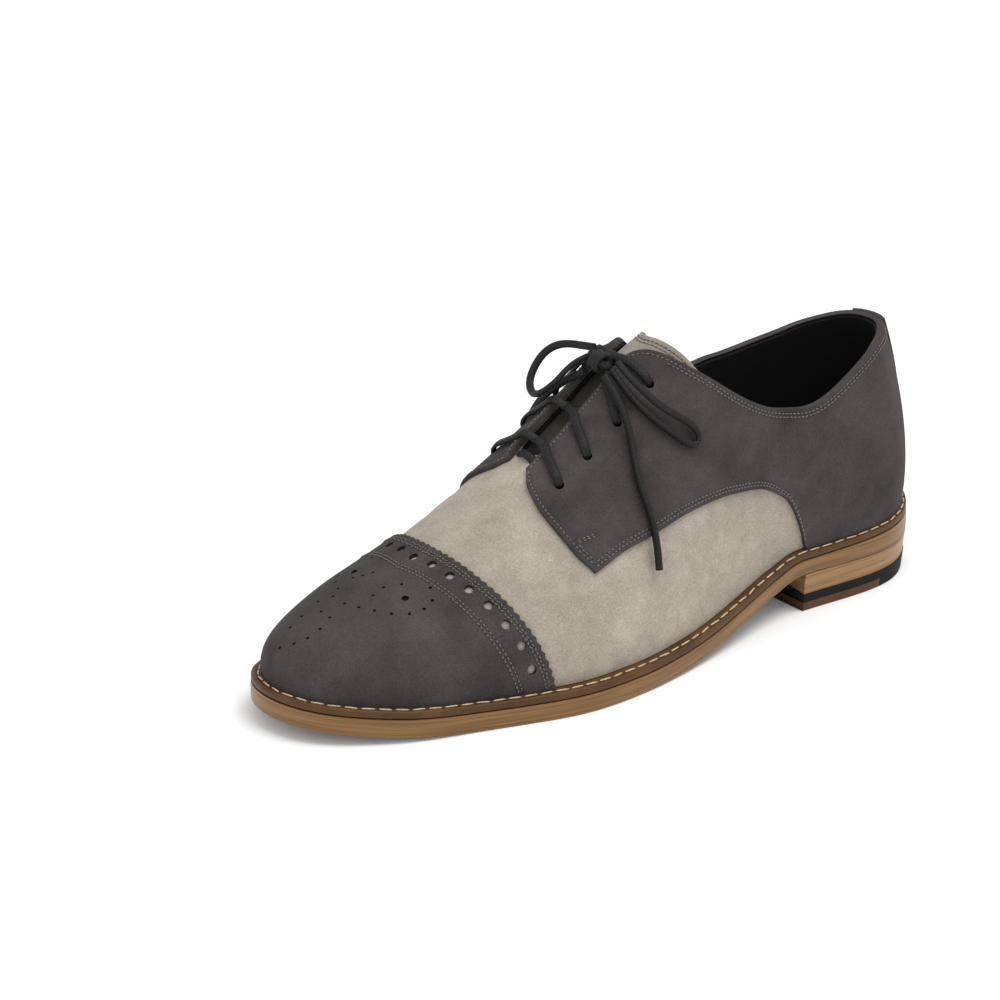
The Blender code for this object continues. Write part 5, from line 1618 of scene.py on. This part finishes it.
def add_cord(name, route, node):
    """A free stretch of lace, slightly flat and lightly furrowed."""
    path = smooth_route(route, BOW_SPACING)
    ahead = np.gradient(path, axis=0)
    ways = [np.cross(ahead[0], [0.0, 0.0, 1.0])]
    for step in ahead[1:]:
        step = step / np.linalg.norm(step)
        ways.append(ways[-1] - step * ways[-1].dot(step))
    piece = add_lace(name, node, [ribbon(path, ways, BOW_WIDTH, BOW_THICK, 12, 0.16)])
    total = float(path_lengths(path)[-1])
    guide = smooth_route(route, total / GUIDE_STEPS)


def add_bow():
    add_cord("bow_loop_lateral", LOOP_LATERAL, "lace_loop_lateral")
    add_cord("bow_loop_medial", LOOP_MEDIAL, "lace_loop_medial")
    add_cord("bow_end_lateral", END_LATERAL, "lace_end_lateral")
    add_cord("bow_end_medial", END_MEDIAL, "lace_end_medial")
    add_knot()


def add_camera():
    a, e = math.radians(CAMERA["azimuth"]), math.radians(CAMERA["tilt"])
    right = Vector((math.cos(a), math.sin(a), 0))
    up = Vector((-math.sin(a) * math.sin(e), math.cos(a) * math.sin(e), math.cos(e)))
    back = Vector((math.sin(a) * math.cos(e), -math.cos(a) * math.cos(e), math.sin(e)))
    place = right * CAMERA["right"] + up * CAMERA["up"] + back * CAMERA["distance"]
    data = bpy.data.cameras.new("camera")
    data.sensor_width = 36.0
    data.lens = CAMERA["lens"]
    data.clip_end = 100.0
    camera = placed("camera", data)
    camera.matrix_world = Matrix(((right.x, up.x, back.x, place.x), (right.y, up.y, back.y, place.y),
                                  (right.z, up.z, back.z, place.z), (0, 0, 0, 1)))
    bpy.context.scene.camera = camera


def add_light(name, place, target, size, power):
    data = bpy.data.lights.new(name, "AREA")
    data.shape = "DISK"
    data.size = size
    data.energy = power
    lamp = placed(name, data)
    lamp.location = place
    lamp.rotation_euler = (Vector(target) - Vector(place)).to_track_quat("-Z", "Y").to_euler()


def add_stage():
    """A pale floor and soft studio light."""
    paint = Shading("floor_paint", 0.9, 0.1)
    tone = paint.ramp(paint.noise(paint.place, 6.0, 2.0), (0.3, (0.92, 0.92, 0.925)), (0.7, (0.94, 0.94, 0.945)))
    paint.tree.links.new(tone, paint.main.inputs["Base Color"])
    paint.main.inputs["Emission Color"].default_value = (1.0, 1.0, 1.0, 1.0)
    paint.main.inputs["Emission Strength"].default_value = FLOOR_GLOW
    ground = new_mesh("floor", [(-8, -8, 0), (8, -8, 0), (8, 8, 0), (-8, 8, 0)], [(0, 1, 2, 3)], paint.made)
    floor = placed("floor", ground)
    world = bpy.data.worlds.new("studio")
    world.use_nodes = True
    world.node_tree.nodes["Background"].inputs[0].default_value = (1.0, 1.0, 1.0, 1.0)
    world.node_tree.nodes["Background"].inputs[1].default_value = SKY_STRENGTH
    bpy.context.scene.world = world
    for light in LIGHTS:
        add_light(*light)
    bpy.context.scene.view_settings.view_transform = "Standard"


add_camera()
add_bow()
add_laces()
add_sole()
upper_shell = add_shell()
add_cap()
add_quarter("nubuck_quarter_lateral", 1, "quarter_lateral", upper_shell)
add_quarter("nubuck_quarter_medial", -1, "quarter_medial", upper_shell)
add_heel_strip()
add_tongue()
FINE.make("grey_stitching", FINE_FINISH, "nubuck")
PITS.make("needle_hole_shade", PIT_SHADE_FINISH, "nubuck")
PALE.make("pale_stitching", PALE_FINISH, "suede")
WELT_ROW.make("welt_stitching", WELT_THREAD_FINISH, "welt_leather")
add_stage()
